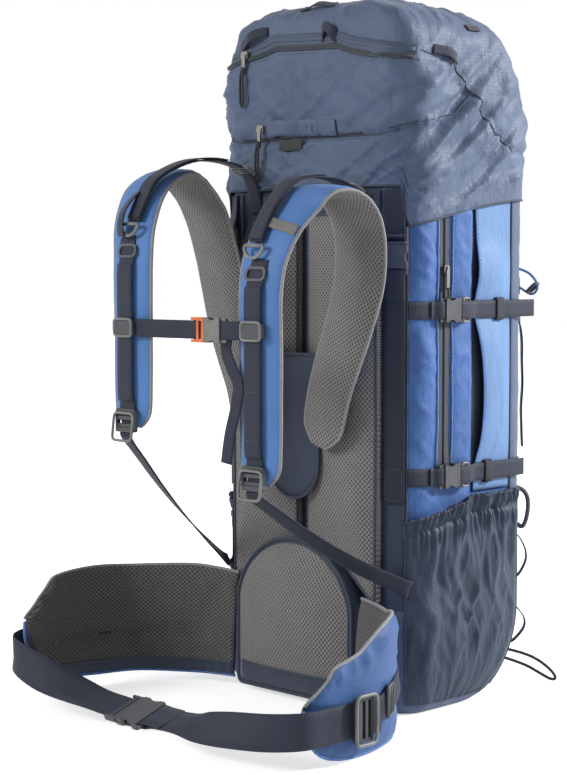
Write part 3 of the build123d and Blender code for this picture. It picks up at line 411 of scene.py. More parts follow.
def tube_mesh(paths, radius, sides=8, closed=False):
    """Points and faces of round cords along the given polylines."""
    verts, faces = [], []
    for points in paths:
        points = [Vector(p) for p in points]
        count = len(points)
        if closed:
            tangents = [(points[(i + 1) % count] - points[i - 1]).normalized() for i in range(count)]
        else:
            tangents = frames_along(points)
        normal = tangents[0].orthogonal().normalized()
        base = len(verts)
        for point, tangent in zip(points, tangents):
            normal = (normal - tangent * normal.dot(tangent)).normalized()
            side = tangent.cross(normal)
            for k in range(sides):
                turn = 2 * math.pi * k / sides
                verts.append(point + normal * (radius * math.cos(turn)) + side * (radius * math.sin(turn)))
        faces += quads(count, sides, looped=closed, base=base)
        if not closed:
            faces.append(tuple(base + k for k in reversed(range(sides))))
            faces.append(tuple(base + (count - 1) * sides + k for k in range(sides)))
    return verts, faces


def tubes(name, paths, radius, body="root", mat=M_BINDING, slot="navy_ripstop", sides=6, closed=False):
    """Round cords, bindings and rods along polylines, as one piece."""
    verts, faces = tube_mesh(paths, radius, sides, closed)
    return add_piece(name, verts, faces, [mat], body, slot)


def rods(name, paths, radius, body, mat=M_PALE, closed=False):
    """Round moulded bars and wire frames."""
    return tubes(name, paths, radius, body, mat, "buckle_plastic", 8, closed)


def smooth_line(points):
    """Points along the NURBS spline that has these as its control points, in millimetres."""
    curve = bpy.data.curves.new("route", "CURVE")
    curve.dimensions = "3D"
    curve.resolution_u = 8
    spline = curve.splines.new("NURBS")
    spline.points.add(len(points) - 1)
    for place, point in zip(spline.points, points):
        place.co = (point[0] * MM, point[1] * MM, point[2] * MM, 1.0)
    spline.order_u = 3
    spline.use_endpoint_u = True
    holder = bpy.data.objects.new("route", curve)
    bpy.context.scene.collection.objects.link(holder)
    mesh = bpy.data.meshes.new_from_object(holder)
    line = [v.co / MM for v in mesh.vertices]
    bpy.data.objects.remove(holder)
    bpy.data.curves.remove(curve)
    bpy.data.meshes.remove(mesh)
    return line


def free_cord(name, points, radius, body, mat):
    """A soft cord loop that leaves the object at its first point and goes back at its last."""
    line = smooth_line(points)
    piece = tubes(name, [line], radius, body, mat, "webbing", 8)
    path = [tuple(p * MM) for p in line]
    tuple(path[0])
    lengths(line)[-1] * MM
    return piece


def stitches(name, runs, body, mat=M_THREAD, slot="webbing", length=3.2, gap=1.8, size=0.55):
    """Rows of short thread stitches: each run is (points on the cloth, outward normal)."""
    paths = []
    for points, out in runs:
        points = [Vector(p) for p in points]
        out = Vector(out).normalized()
        run = lengths(points)
        at = gap
        while at + length < run[-1]:
            ends = []
            for place in (at, at + length / 2, at + length):
                k = max(i for i in range(len(run)) if run[i] <= place)
                k = min(k, len(points) - 2)
                t = (place - run[k]) / max(run[k + 1] - run[k], 1e-6)
                ends.append(points[k].lerp(points[k + 1], t))
            low = -0.15 * size
            paths.append([ends[0] + out * low, ends[1] + out * size * 0.5, ends[2] + out * low])
            at += length + gap
    verts, faces = tube_mesh(paths, size / 2, 5)
    return add_piece(name, verts, faces, [mat], body, slot)


def sheet_mesh(fn, us, vs, thick, closed=False):
    """A cloth of even thickness: fn(u, v) gives its outer face, u and v in millimetres."""
    rows, columns = len(vs), len(us)
    points = [[Vector(fn(u, v)) for u in us] for v in vs]
    outer, inner, uvs = [], [], []
    for i in range(rows):
        for j in range(columns):
            if closed:
                du = points[i][(j + 1) % columns] - points[i][j - 1]
            else:
                du = points[i][min(j + 1, columns - 1)] - points[i][max(j - 1, 0)]
            dv = points[min(i + 1, rows - 1)][j] - points[max(i - 1, 0)][j]
            normal = du.cross(dv)
            if normal.length < 1e-6:
                normal = Vector(UP)
            outer.append(points[i][j])
            inner.append(points[i][j] - normal.normalized() * thick)
            uvs.append((us[j], vs[i]))
    count = rows * columns
    faces = []
    for quad in quads(rows, columns, closed):
        faces += [quad, tuple(count + q for q in reversed(quad))]
    edges = []
    for j in range(columns if closed else columns - 1):
        k = (j + 1) % columns
        edges += [(k, j), ((rows - 1) * columns + j, (rows - 1) * columns + k)]
    if not closed:
        for i in range(rows - 1):
            edges.append((i * columns, (i + 1) * columns))
            edges.append(((i + 1) * columns + columns - 1, i * columns + columns - 1))
    faces += [(a, b, count + b, count + a) for a, b in edges]
    return outer + inner, faces, uvs * 2


def cloth_sheet(name, fn, us, vs, thick, mats, slot="navy_ripstop", replaces=(), closed=False):
    """A piece of even cloth on the bag."""
    verts, faces, uvs = sheet_mesh(fn, us, vs, thick, closed)
    return add_piece(name, verts, faces, mats, "root", slot, uvs=uvs, replaces=replaces)


def steps(low, high, size):
    """Evenly spaced values from low to high, about size apart."""
    count = max(2, round(abs(high - low) / size) + 1)
    return [low + (high - low) * i / (count - 1) for i in range(count)]


def smooth_step(value, low, high):
    """Rises smoothly from 0 at low to 1 at high."""
    t = min(1.0, max(0.0, (value - low) / (high - low)))
    return t * t * (3 - 2 * t)


def bell(value, centre, width):
    """1 at the centre, falling off to both sides."""
    return math.exp(-(((value - centre) / width) ** 2))


def rumple(u, v, size_u, size_v, seed, depth=3):
    """Smooth wrinkle noise from -1 to 1; ridged, so folds have crests."""
    total, gain = 0.0, 1.0
    for octave in range(depth):
        scale = 2**octave
        value = noise.noise(Vector((u * scale / size_u, v * scale / size_v, seed + 9.1 * octave)))
        total += gain * (1 - 2.4 * abs(value))
        gain *= 0.5
    return total / 1.75 - 0.35


def ridge(u, v, size_u, size_v, seed, sharp=4.5):
    """Narrow crests where a slow noise crosses zero, as pulled cloth has them: 0 to 1."""
    return max(0.0, 1.0 - abs(rumple(u, v, size_u, size_v, seed, 2)) * sharp)


# ------------------------------------------------------------------ stuffing
PADS = []
CLOTH_STEPS = 15


def stuff(piece, sewn, pressure=4.0, cap=4.0):
    """Note a pad to be blown up by the cloth simulation, held at its sewn edges."""
    PADS.append((piece, sewn, pressure, cap))


def blow_up_pads():
    """Run the cloth simulation for all pads at once and keep what it found, up to each pad's cap."""
    scene = bpy.context.scene
    for piece, sewn, pressure, cap in PADS:
        piece.vertex_groups.new(name="sewn").add(sewn, 1.0, "REPLACE")
        cloth = piece.modifiers.new("cloth", "CLOTH")
        for key, value in (
            ("quality", 4), ("mass", 0.3), ("tension_stiffness", 30), ("compression_stiffness", 30),
            ("bending_stiffness", 0.8), ("vertex_group_mass", "sewn"), ("use_pressure", True),
            ("uniform_pressure_force", pressure),
        ):
            setattr(cloth.settings, key, value)
        cloth.settings.effector_weights.gravity = 0
        cloth.point_cache.frame_start = 1
        cloth.point_cache.frame_end = CLOTH_STEPS + 5
    for step in range(1, CLOTH_STEPS + 1):
        scene.frame_set(step)
    graph = bpy.context.evaluated_depsgraph_get()
    blown = [[v.co.copy() for v in pad[0].evaluated_get(graph).data.vertices] for pad in PADS]
    for (piece, sewn, pressure, cap), found in zip(PADS, blown):
        piece.modifiers.clear()
        piece.vertex_groups.clear()
        for vertex, place in zip(piece.data.vertices, found):
            move = place - vertex.co
            if move.length > cap * MM:
                move = move.normalized() * cap * MM
            vertex.co += move
        piece.data.update()
    scene.frame_set(1)


def at_vertices(piece, indices):
    """Places of some of a piece's vertices, in millimetres."""
    return [piece.data.vertices[i].co / MM for i in indices]


# ------------------------------------------------------------------ the bag's plan
HALF = box_mm("side_panel_left")[1].x
BACK = box_mm("back_panel")[0].y
FRONT = box_mm("front_panel")[1].y
RIM = box_mm("back_panel")[1].z
CORNER = 40.0
BASE_ROUND = 105.0
FOOT = 13.0
REAR_RUN = HALF - CORNER
ARC = CORNER * math.pi / 2
SIDE_RUN = FRONT - BACK - 2 * CORNER
SIDE_START = REAR_RUN + ARC
SIDE_END = SIDE_START + SIDE_RUN
HALF_ROUND = SIDE_END + ARC + REAR_RUN
SEAM_REAR = SIDE_START - 30.0
SEAM_FRONT = SIDE_END - 2.0
STRAP_LEVELS = (455.0, 268.0)
ZIP_Y = -52.0
ZIP_S = SIDE_START + ZIP_Y - BACK - CORNER
GAP_S = SIDE_START + 2.0 - 4.0 - BACK - CORNER
PANEL_FOOT = 112.0
PANEL_T = 1.2
FLAP_WIDTH = 64.0


def front_at(z):
    """Where the bag's front is at a height: the base is rounded up to it."""
    if z >= BASE_ROUND:
        return FRONT
    return FRONT - BASE_ROUND + math.sqrt(BASE_ROUND**2 - (BASE_ROUND - z) ** 2)


def plan(s, front=FRONT):
    """Place and outward normal at s millimetres round the bag from the middle of its back."""
    if s > HALF_ROUND:
        s -= 2 * HALF_ROUND
    side = 1.0 if s >= 0 else -1.0
    s = abs(s)
    if s <= REAR_RUN:
        return side * s, BACK, 0.0, -1.0
    if s <= SIDE_START:
        turn = (s - REAR_RUN) / CORNER
        nx, ny = math.sin(turn), -math.cos(turn)
        return side * (REAR_RUN + CORNER * nx), BACK + CORNER + CORNER * ny, side * nx, ny
    if s <= SIDE_END:
        t = (s - SIDE_START) / SIDE_RUN
        return side * HALF, BACK + CORNER + t * (front - BACK - 2 * CORNER), side, 0.0
    if s <= SIDE_END + ARC:
        turn = (s - SIDE_END) / CORNER
        nx, ny = math.cos(turn), math.sin(turn)
        return side * (REAR_RUN + CORNER * nx), front - CORNER + CORNER * ny, side * nx, ny
    return side * (HALF_ROUND - s), front, 0.0, 1.0


def bag_point(s, z, off=0.0):
    """A point on the bag's skin, or off millimetres outside it; the foot is rounded."""
    if z < FOOT:
        off -= FOOT - math.sqrt(max(0.0, FOOT**2 - (FOOT - z) ** 2))
    x, y, nx, ny = plan(s, front_at(z))
    return Vector((x + nx * off, y + ny * off, z))


def side_s(y):
    """Distance round the bag of a place on its straight side."""
    return SIDE_START + (y - BACK - CORNER)


def strap_pinch(z):
    """1 at the height of a compression strap, 0 well away from both."""
    return min(1.0, sum(bell(z, level, 27.0) for level in STRAP_LEVELS))


def side_off(s, z):
    """How far the side panel's cloth stands off the frame's outline."""
    across = abs(s)
    t = (across - SEAM_REAR) / (SEAM_FRONT - SEAM_REAR)
    edge = smooth_step(min(t, 1 - t), 0.0, 0.08)
    seed = 3.0 if s > 0 else 31.0
    full = 4.6 * math.sin(math.pi * min(1, max(0, t))) ** 0.6 * (1 - strap_pinch(z))
    rear = 1 - smooth_step(across, ZIP_S - 30.0, ZIP_S)
    creases = (2.0 + 1.2 * rear) * rumple(across + 0.5 * z, z - 0.3 * across, 60.0, 38.0, seed)
    fine = 1.3 * rumple(z - 0.9 * across, across, 19.0, 70.0, seed + 4.0)
    creases += fine * (1 - smooth_step(z, 430.0, 520.0))
    creases += 2.4 * ridge(z + 0.7 * across, across, 46.0, 120.0, seed + 9.0) * (0.4 + 0.6 * rear)
    creases *= 1 - 0.5 * strap_pinch(z)
    under = smooth_step(across, GAP_S - 7.0, GAP_S + 1.0)
    zip_gap = bell(across, ZIP_S, 17.0)
    puff = (full * (1 - smooth_step(z, 560.0, 600.0)) + creases - 0.9) * (1 - zip_gap) - 1.0 * zip_gap
    puff *= smooth_step(z, 206.0, 252.0)
    return edge * (puff * (1 - 0.9 * under) + -2.2 * under) - 0.1


def bag_panels():
    """The back, side and front cloths, and the near-black cloth in the sides' open gap, painted shade under
    the gear pocket.
    """
    def back_off(s, z):
        edge = smooth_step(abs(s), 108.0, 122.0) * (1 - smooth_step(abs(s), SEAM_REAR - 16.0, SEAM_REAR))
        return edge * (0.9 + 0.9 * rumple(s, z, 60.0, 26.0, 12.0)) * 0.5 - 0.2

    def front_off(s, z):
        t = (s - SEAM_FRONT) / (2 * (HALF_ROUND - SEAM_FRONT))
        edge = smooth_step(min(t, 1 - t), 0.0, 0.1)
        straps = 1 - 0.6 * strap_pinch(z)
        return edge * straps * (3.4 * math.sin(math.pi * t) + 1.4 * rumple(s, z, 90.0, 40.0, 21.0)) - 0.4

    def panel(name, node, off, us, step, mats, slot="navy_ripstop"):
        def fn(s, z):
            return bag_point(s, z, off(s, z))

        return cloth_sheet(name, fn, us, steps(PANEL_FOOT, RIM, step), PANEL_T, mats, slot, (node,))

    panel("bag_back", "back_panel", back_off, steps(-SEAM_REAR, SEAM_REAR, 5.0), 6.0, [M_NAVY_DARK])
    for name, sign in SIDES:
        us = steps(sign * SEAM_REAR, sign * SEAM_FRONT, 3.6)[::sign]
        side = panel(f"bag_side_{name}", f"side_panel_{name}", side_off, us, 4.2, [M_BLUE, M_PAINTED_GAP_SHADE],
                     "blue_ripstop")
        cloth = side.data.uv_layers["weave"].data
        for face in side.data.polygons:
            spots = [cloth[index].uv for index in face.loop_indices]
            at_s = sum(abs(spot.x) for spot in spots) / len(spots)
            at_z = sum(spot.y for spot in spots) / len(spots)
            # faces in the open gap under the gear pocket take the near-black cloth: painted shade
            if GAP_S < at_s < GAP_S + 26.0 and 262.0 < at_z < 590.0:
                face.material_index = 1
    us = steps(SEAM_FRONT, 2 * HALF_ROUND - SEAM_FRONT, 6.0)
    panel("bag_front", "front_panel", front_off, us, 6.0, [M_NAVY])


def bag_base():
    """Base cloth: one ring of cloth up to the side seams, closed by a flat bottom."""
    around = steps(-HALF_ROUND, HALF_ROUND, 6.0)[:-1]
    heights = [118.0, 104.0, 90.0, 76.0, 63.0, 51.0, 40.0, 30.0, 21.0, 14.0, 8.5, 4.0, 1.4, 0.2]
    flats = [-0.8, -0.55, -0.3, -0.05]
    middle = Vector((0, (BACK + front_at(0.2)) / 2, 0.15))

    def fn(s, v):
        if v < 0:
            return middle + (bag_point(s, 0.2) - middle) * -v
        crease = 1.5 * rumple(s, v, 80.0, 26.0, 44.0)
        return bag_point(s, v, crease * smooth_step(v, 4.0, 30.0) * smooth_step(118.0 - v, 0, 20) - 0.2)

    rows = heights + flats
    verts, faces, uvs = sheet_mesh(fn, around, rows, 1.2, closed=True)
    faces = [tuple(reversed(face)) for face in faces]
    verts.append(middle)
    uvs.append((0, 0))
    faces += fan(len(around) * (len(rows) - 1), len(around), len(verts) - 1)
    add_piece("bag_base", verts, faces, [M_NAVY], "root", "navy_ripstop", uvs=uvs, replaces=("base_panel",))


def flap_edge(z):
    """Y of the free edge of the side's gear pocket: it bows forward between its tacks."""
    between = min(1.0, max(0.0, (z - 262.0) / 188.0))
    above = min(1.0, max(0.0, (z - 462.0) / 120.0))
    return 1.5 + 12.5 * math.sin(math.pi * between) ** 1.1 + 4.0 * math.sin(math.pi * above)


def side_flaps():
    """The gear pocket on each side: its free rear edge stands off, over a gap whose near-black cloth is
    painted shade.
    """
    for name, sign in SIDES:
        def fn(t, z):
            start, end = side_s(flap_edge(z)), SEAM_FRONT
            s = start + (end - start) * t / FLAP_WIDTH
            share = t / FLAP_WIDTH
            lift = (1 - strap_pinch(z)) * smooth_step(z, 258, 300) * (1 - smooth_step(z, 490, 542))
            lean = 5.6 * (1 - share) ** 0.8 + 3.2 * math.sin(math.pi * share)
            crease = 1.3 * rumple(s, z, 26.0, 95.0, 5.5 + sign) * math.sin(math.pi * min(1, share * 1.1))
            off = 0.2 + lift * lean + crease * (0.1 + 0.9 * lift) * (1 - smooth_step(share, 0.85, 1.0))
            return bag_point(sign * s, z, off)

        vs = steps(246.0, 596.0, 4.0)
        us = steps(0.0, FLAP_WIDTH, 3.2)[::sign]
        cloth_sheet(f"gear_pocket_{name}", fn, us, vs, 1.1, [M_BLUE_PALE], "blue_ripstop")
        hem = [fn(0.0, z) for z in vs]
        tubes(f"gear_pocket_hem_{name}", [hem], 0.95, "root", M_BLUE_EDGE, "blue_ripstop")
        rows = [([fn(4.0, z) + Vector((sign * 0.1, 0, 0)) for z in vs], (sign, 0, 0))]
        stitches(f"gear_pocket_stitches_{name}", rows, "root", M_THREAD, "blue_ripstop", size=0.45)


def side_zips():
    """Tape, coil and flap edges of the zip up each side."""
    heights = steps(278.0, 588.0, 8.0)
    for name, sign in SIDES:
        def line(s, lift):
            return [bag_point(sign * s, z, side_off(sign * s, z) + lift) for z in heights]

        middle = [bag_point(sign * ZIP_S, z, 0.1 + side_off(ZIP_S, z) * 0.4) for z in heights]
        flat_ribbon(f"side_zip_tape_{name}", middle, (0, 1, 0), 25.0, "root", mat=M_ZIP, slot="zip_tape",
                    thick=0.9, per=2, replaces=("side_zip_tapes",) if sign > 0 else (), wave=0.0)
        coil = [p + Vector((sign * 0.7, 0, 0)) for p in middle]
        tubes(f"side_zip_coil_{name}", [coil], 1.6, "root", M_COIL, "zip_tape")
        lips = [line(ZIP_S + gap, 0.9) for gap in (-12.5, 12.5)]
        rows = [line(s, 0.1) for s in (ZIP_S + -12.5 * 1.3, ZIP_S + 12.5 * 1.3, GAP_S - 3.5)]
        tubes(f"side_zip_lips_{name}", lips, 1.3, "root", M_BLUE_EDGE, "blue_ripstop")
        stitches(f"side_zip_stitches_{name}", [(row, (sign, 0, 0)) for row in rows], "root", M_BLUE_EDGE,
                 "blue_ripstop", size=0.5)


def seam_cords():
    """Cords and stitches along the bag's seams and the back's edges."""
    paths, dotted, edges = [], [], []
    for sign in (1, -1):
        for seam in (SEAM_REAR, SEAM_FRONT):
            paths.append([bag_point(sign * seam, z, 0.6) for z in steps(60.0, 590.0, 8.0)])
        at = sign * (SEAM_REAR - 3.0)
        dotted.append(([bag_point(at, z, 0.55) for z in steps(200.0, 560.0, 10.0)], (*plan(at)[2:], 0)))
        edges.append([(sign * 109.5, BACK - 1.2, z) for z in steps(22.0, 588.0, 12.0)])
    tubes("bag_seams", paths, 1.25)
    stitches("bag_seam_stitches", dotted, "root", M_THREAD, "navy_ripstop")
    tubes("back_edge_cords", edges, 2.2, sides=8)


def collar_cloth():
    """Gathered collar above the rim, pleated by its drawcord."""
    low, high = box_mm("collar")

    def fn(s, z):
        t = (z - low.z) / (high.z - low.z)
        pleat = 2.2 * math.sin(s / 5.2) + 1.6 * math.sin(s / 8.3 + 1.0)
        return bag_point(s, z, -24.0 * t + pleat * (0.15 + 0.85 * t) - 3.0)

    around = steps(-HALF_ROUND, HALF_ROUND, 3.2)[:-1]
    heights = steps(low.z - 6.0, high.z - 1.0, 6.0)
    cloth_sheet("collar_cloth", fn, around, heights, 1.0, [M_INSIDE], replaces=("collar",), closed=True)
    cord = [fn(s, high.z - 4.0) + Vector((0, 0, 2.0)) for s in around]
    tubes("collar_cord", [cord], 1.6, slot="webbing", closed=True)


def side_pockets():
    """Stretch pockets: cloth gathered into an elastic hem, hanging in soft folds."""
    start = REAR_RUN + CORNER * math.acos((BACK + CORNER - (-103.5)) / CORNER)
    end = SIDE_END + CORNER * math.asin((85.5 - FRONT + CORNER) / CORNER)
    foot = 11.0
    tall = 200.0

    def hem_at(s):
        return 217.0 + (242.0 - 217.0) * min(1.0, (s - start) / 100.0) ** 0.8 + 0.8 * math.sin(s * 0.9)

    for name, sign in SIDES:
        def fn(s, v):
            t = (s - start) / (end - start)
            share = v / tall
            z = foot + (hem_at(s) - foot) * share
            fat = 9.4 * (math.sin(math.pi * min(1, max(0, t)))) ** 0.42
            fat *= 1 - (1 - smooth_step(share, -0.02, 0.16)) * 0.8
            sway = 26.0 * noise.noise(Vector((s * 0.012, z * 0.011, sign)))
            slow = abs(noise.noise(Vector((s * 0.03, 4.0, sign))))
            folds = 5.6 * math.sin((s + sway) / 6.4) * share**1.4 * (0.4 + slow)
            folds += 7.5 * rumple(s + 0.35 * z + sway, z, 30.0, 120.0, 15.0 + sign) * (0.45 + 0.55 * share)
            crest = ridge(s - 0.32 * z, z + 0.3 * s, 52.0, 240.0, 161.0 + sign, 3.5)
            folds += 4.0 * crest * smooth_step(share, 0.05, 0.3)
            ruffle = math.sin(s * 0.95 + 1.3 * math.sin(s * 0.27))
            gather = 2.2 * ruffle * smooth_step(share, 0.90, 0.965) + 1.8 * ruffle * bell(share, 0.87, 0.05)
            band = -3.0 * bell(share, 0.925, 0.014) + 1.2 * smooth_step(share, 0.94, 0.97)
            pleat = -4.0 * bell(t, 0.22, 0.035) * (1 - smooth_step(share, 0.9, 1.0)) * share
            off = fat + (folds * 0.8 + pleat) * smooth_step(min(t, 1 - t), 0, 0.1) + gather + band
            return bag_point(sign * s, z, max(1.6, min(17.0, off - 0.6)))

        us = steps(start, end, 1.5)[::sign]
        vs = steps(0.0, 150.0, 4.0) + steps(152.5, tall, 2.4)
        pocket = cloth_sheet(f"side_pocket_cloth_{name}", fn, us, vs, 1.1, [M_NAVY_POCKET],
                             replaces=(f"side_pocket_{name}",))
        hem = tubes(f"side_pocket_hem_{name}", [[fn(s, tall) for s in steps(start, end, 1.6)]], 1.5)
        edges = [[fn(s, v) for v in steps(4.0, 198.0, 8.0)] for s in (start, end)]
        binding = tubes(f"side_pocket_edges_{name}", edges, 1.1)


bag_panels()
bag_base()
side_flaps()
side_zips()
seam_cords()
collar_cloth()
side_pockets()


# ------------------------------------------------------------------ the lid
LID_PART = 655.0
LID_OFF = 4.4
LID_SKIRT = 30
LID_DOME = 60
COVER_SEAM = ((0, 650), (112, 650), (132, 654), (154, 664), (183, 679), (206, 689.5), (230, 698))
GARAGE_SEAM = (
    (151, 741), (170, 735), (191, 726), (209, 712), (230, 698), (265, 670), (282, 654), (303, 636),
)


def level(table, at):
    """Height at a place, from rows of (place, height)."""
    for (a, low), (b, high) in zip(table, table[1:]):
        if at <= b:
            return low + (high - low) * max(0.0, (at - a) / (b - a))
    return table[-1][1]


def lid_caster(points_to):
    """Outermost place of the CAD lid on a ray towards points_to."""
    graph = bpy.context.evaluated_depsgraph_get()
    tree = BVHTree.FromObject(bpy.data.objects["lid_shell"], graph)

    def cast(direction):
        start = points_to + direction * 600.0
        hit = tree.ray_cast(start * MM, -direction)[0]
        return hit / MM if hit else None

    return cast


def hem_z(s):
    """Height of the skirt's hem round the lid, as the side view's profile has it."""
    s = abs(s)
    rear = 1 - smooth_step(s, 135.0, 143.0)
    rise = 33.0 * (1 - min(1.0, max(0.0, (335.0 - s) / 192.0)) ** 1.4)
    return 547.0 + rise + (45.0 - rise) * rear


def zip_line(s):
    """Height of the lid pocket's zip: level across the rear, falling past the corners."""
    return 754.0 - 0.03 * s - 18.0 * smooth_step(abs(s), 92.0, 154.0)


def cover_line(s):
    """Height of the seam under the lid pocket: it climbs the side to the lid's garage seam."""
    return level(COVER_SEAM, abs(s))


def lid_grid(around, centre, cast):
    """Rings of the lid's cloth: its hanging skirt, then rays cast onto the CAD lid, evened out."""
    count = len(around)
    grid = []
    for row in range(LID_SKIRT):
        rise = row / LID_SKIRT
        grid.append([bag_point(s, hem_z(s) + (LID_PART - hem_z(s)) * rise, LID_OFF) for s in around])
    for row in range(LID_DOME):
        lift = math.pi / 2 * row / LID_DOME
        ring = []
        for s in around:
            foot = bag_point(s, LID_PART, LID_OFF)
            flat = (foot - centre) * Vector((1, 1, 0))
            out = flat.normalized() * math.cos(lift) * flat.length
            reach = out + Vector((0, 0, 150.0 * math.sin(lift)))
            ring.append(cast(reach.normalized()) or foot)
        grid.append(ring)
    for _ in range(9):
        for i in range(LID_SKIRT, len(grid) - 1):
            old = [p.copy() for p in grid[i]]
            for j in range(count):
                near = (old[j - 1] + old[(j + 1) % count] + grid[i - 1][j] + grid[i + 1][j]) / 4
                grid[i][j] = old[j].lerp(near, 0.5)
    return grid


def lid_folds(s, p):
    """How far the lid's cloth stands off its form: swell, pulled folds, creases and seams."""
    reach = abs(s)
    rear = smooth_step(-p.y, 40.0, 100.0)
    height = smooth_step(p.z, hem_z(s) + 4.0, hem_z(s) + 48.0)
    slack = 1 - smooth_step(p.z, 700.0, 790.0)
    swell = 2.0 * rumple(s, p.z * 1.2, 120.0, 70.0, 61.0)
    drag = 0.60 * reach - 0.80 * p.z
    along = 0.80 * reach + 0.60 * p.z
    flank = smooth_step(reach, 118.0, 165.0) * (1 - 0.6 * smooth_step(reach, 300.0, 340.0))
    below = 1 - smooth_step(p.z, cover_line(s) - 12.0, cover_line(s))
    deep = flank * (0.55 + 0.45 * below) * slack
    pulls = 19.0 * rumple(drag, along, 58.0, 300.0, 71.0, 2) * deep
    pulls += 9.0 * rumple(drag + 40.0, along, 26.0, 170.0, 75.0, 2) * deep
    crimp = 2.6 * rumple(s, p.z, 11.0, 46.0, 91.0, 2) * bell(p.z, 668.0, 18.0) * bell(reach, 148.0, 30.0)
    creases = 2.2 * rumple(s, p.z, 60.0, 34.0, 81.0) + crimp
    back = (1 - smooth_step(reach, 150.0, 190.0)) * (1 - smooth_step(p.z, 728.0, 742.0))
    lean = -1.0 if s > 0 else 1.0
    folds = 3.4 * ridge(s + lean * 0.5 * p.z, p.z + 0.55 * lean * s, 150.0, 34.0, 131.0)
    folds -= 2.6 * ridge(s - lean * 0.3 * p.z, p.z - 0.35 * lean * s, 120.0, 44.0, 137.0)
    creases += folds * back * (0.45 + 0.55 * (1 - bell(p.z, LID_PART, 10.0)))
    creases += 3.2 * ridge(drag, along, 44.0, 210.0, 141.0) * flank * slack
    creases += 2.4 * ridge(p.x + 0.4 * p.y, p.y, 90.0, 40.0, 151.0) * smooth_step(p.z, 765.0, 785.0)
    creases += -7.0 * rear * smooth_step(-p.x, 60.0, 150.0) * smooth_step(p.z, 735.0, 775.0)
    fullness = 3.6 * rear * math.sin(math.pi * min(1, max(0, (p.z - 656.0) / 92.0)))
    fullness -= 1.6 * rear * bell(p.z, 676.0, 2.6) * (1 - smooth_step(s, 84.0, 92.0))
    hem = -1.6 * (1 - smooth_step(p.z, hem_z(s), hem_z(s) + 10.0))
    return (swell + pulls) * (0.25 + 0.75 * height) + creases + fullness + hem - 1.2


def lid_sunk(s, z):
    """How far the cloth is drawn in along the zip band and the two seams."""
    reach = abs(s)
    sunk = 1.2 * bell(z, zip_line(s) + 5.0, 12.0) * (1 - smooth_step(reach, 146.0, 170.0))
    sunk += 3.6 * bell(z, cover_line(s), 4.0) * (1 - smooth_step(reach, 200.0, 246.0))
    return sunk + 2.2 * bell(z, level(GARAGE_SEAM, reach), 4.0) * smooth_step(reach, 150.0, 165.0)


def lid_cloth():
    """The lid as one stuffed hood: folded cloth outside, a flat ceiling over the collar inside."""
    centre = Vector((0.0, -6.0, LID_PART))
    cast = lid_caster(centre)
    around = steps(-HALF_ROUND, HALF_ROUND, 3.4)[:-1]
    count = len(around)
    grid = lid_grid(around, centre, cast)
    top = cast(Vector((0, 0, 1)))
    rows = len(grid)
    verts, uvs = [], []
    for i, ring in enumerate(grid):
        for j, (s, p) in enumerate(zip(around, ring)):
            du = ring[(j + 1) % count] - ring[j - 1]
            dv = (grid[i + 1][j] if i + 1 < rows else top) - grid[max(i - 1, 0)][j]
            move = lid_folds(s, p)
            if i < LID_SKIRT:
                move = max(-1.4, move)
            verts.append(p + du.cross(dv).normalized() * (move - lid_sunk(s, p.z)))
            uvs.append((s, p.z))
    faces = quads(rows, count)
    outer_faces = len(faces)
    verts.append(top)
    uvs.append((0, 0))
    faces += fan((rows - 1) * count, count, len(verts) - 1)
    inner = len(verts)
    for i in range(LID_SKIRT + 1):
        for j, s in enumerate(around):
            outer = verts[i * count + j]
            foot = plan(s)
            verts.append(Vector((outer.x - foot[2] * 1.6, outer.y - foot[3] * 1.6, outer.z)))
            uvs.append((s, outer.z))
    faces += [(b, a, d, c) for a, b, c, d in quads(LID_SKIRT + 1, count, base=inner)]
    faces += [((j + 1) % count, j, inner + j, inner + (j + 1) % count) for j in range(count)]
    verts.append(Vector((0, -5, grid[LID_SKIRT][0].z - 1.0)))
    uvs.append((0, 0))
    faces += [(b, a, pole) for a, b, pole in fan(inner + LID_SKIRT * count, count, len(verts) - 1)]
    piece = add_piece("lid_cloth", verts, faces, [M_NAVY], "lid", "navy_ripstop", uvs=uvs,
                      replaces=("lid_shell",))
    layer = piece.data.uv_layers["weave"]
    for face in piece.data.polygons[:outer_faces]:
        if face.normal.z > 0.62:
            for index in face.loop_indices:
                place = piece.data.vertices[piece.data.loops[index].vertex_index].co / MM
                layer.data[index].uv = (place.x, place.y)
    return piece


LID = lid_cloth()


def on_piece(piece):
    """Caster onto a finished piece: the outermost place towards a point, from a side."""
    tree = BVHTree.FromObject(piece, bpy.context.evaluated_depsgraph_get())

    def cast(target, direction, lift=0.0):
        direction = Vector(direction).normalized()
        start = Vector(target) + direction * 400.0
        hit, normal = tree.ray_cast(start * MM, -direction)[:2]
        if hit is None:
            return Vector(target)
        return hit / MM + normal * lift

    return cast


on_lid = on_piece(LID)


def lid_side(s, z, lift=0.0):
    """A place on the lid's wall at s round the bag and at a height."""
    x, y, nx, ny = plan(s)
    if z > LID_PART:
        x, y = x * 0.55, y * 0.55
    return on_lid((x, y, z), (nx, ny, 0.0), lift)


def lid_band(name, line, starts, width, mat, lift, slot="zip_tape", thick=1.0, replaces=()):
    """Tape that lies on the lid along line(s), turned to the cloth under it."""
    rows = []
    for s in steps(*starts, 9.0):
        z = line(s)
        rise = lid_side(s, z + 6.0, lift) - lid_side(s, z - 6.0, lift)
        rows.append((lid_side(s, z, lift), rise.normalized()))
    return ribbon(name, rows, width, "lid", mat, slot, thick, 3, replaces, wave=0.0)


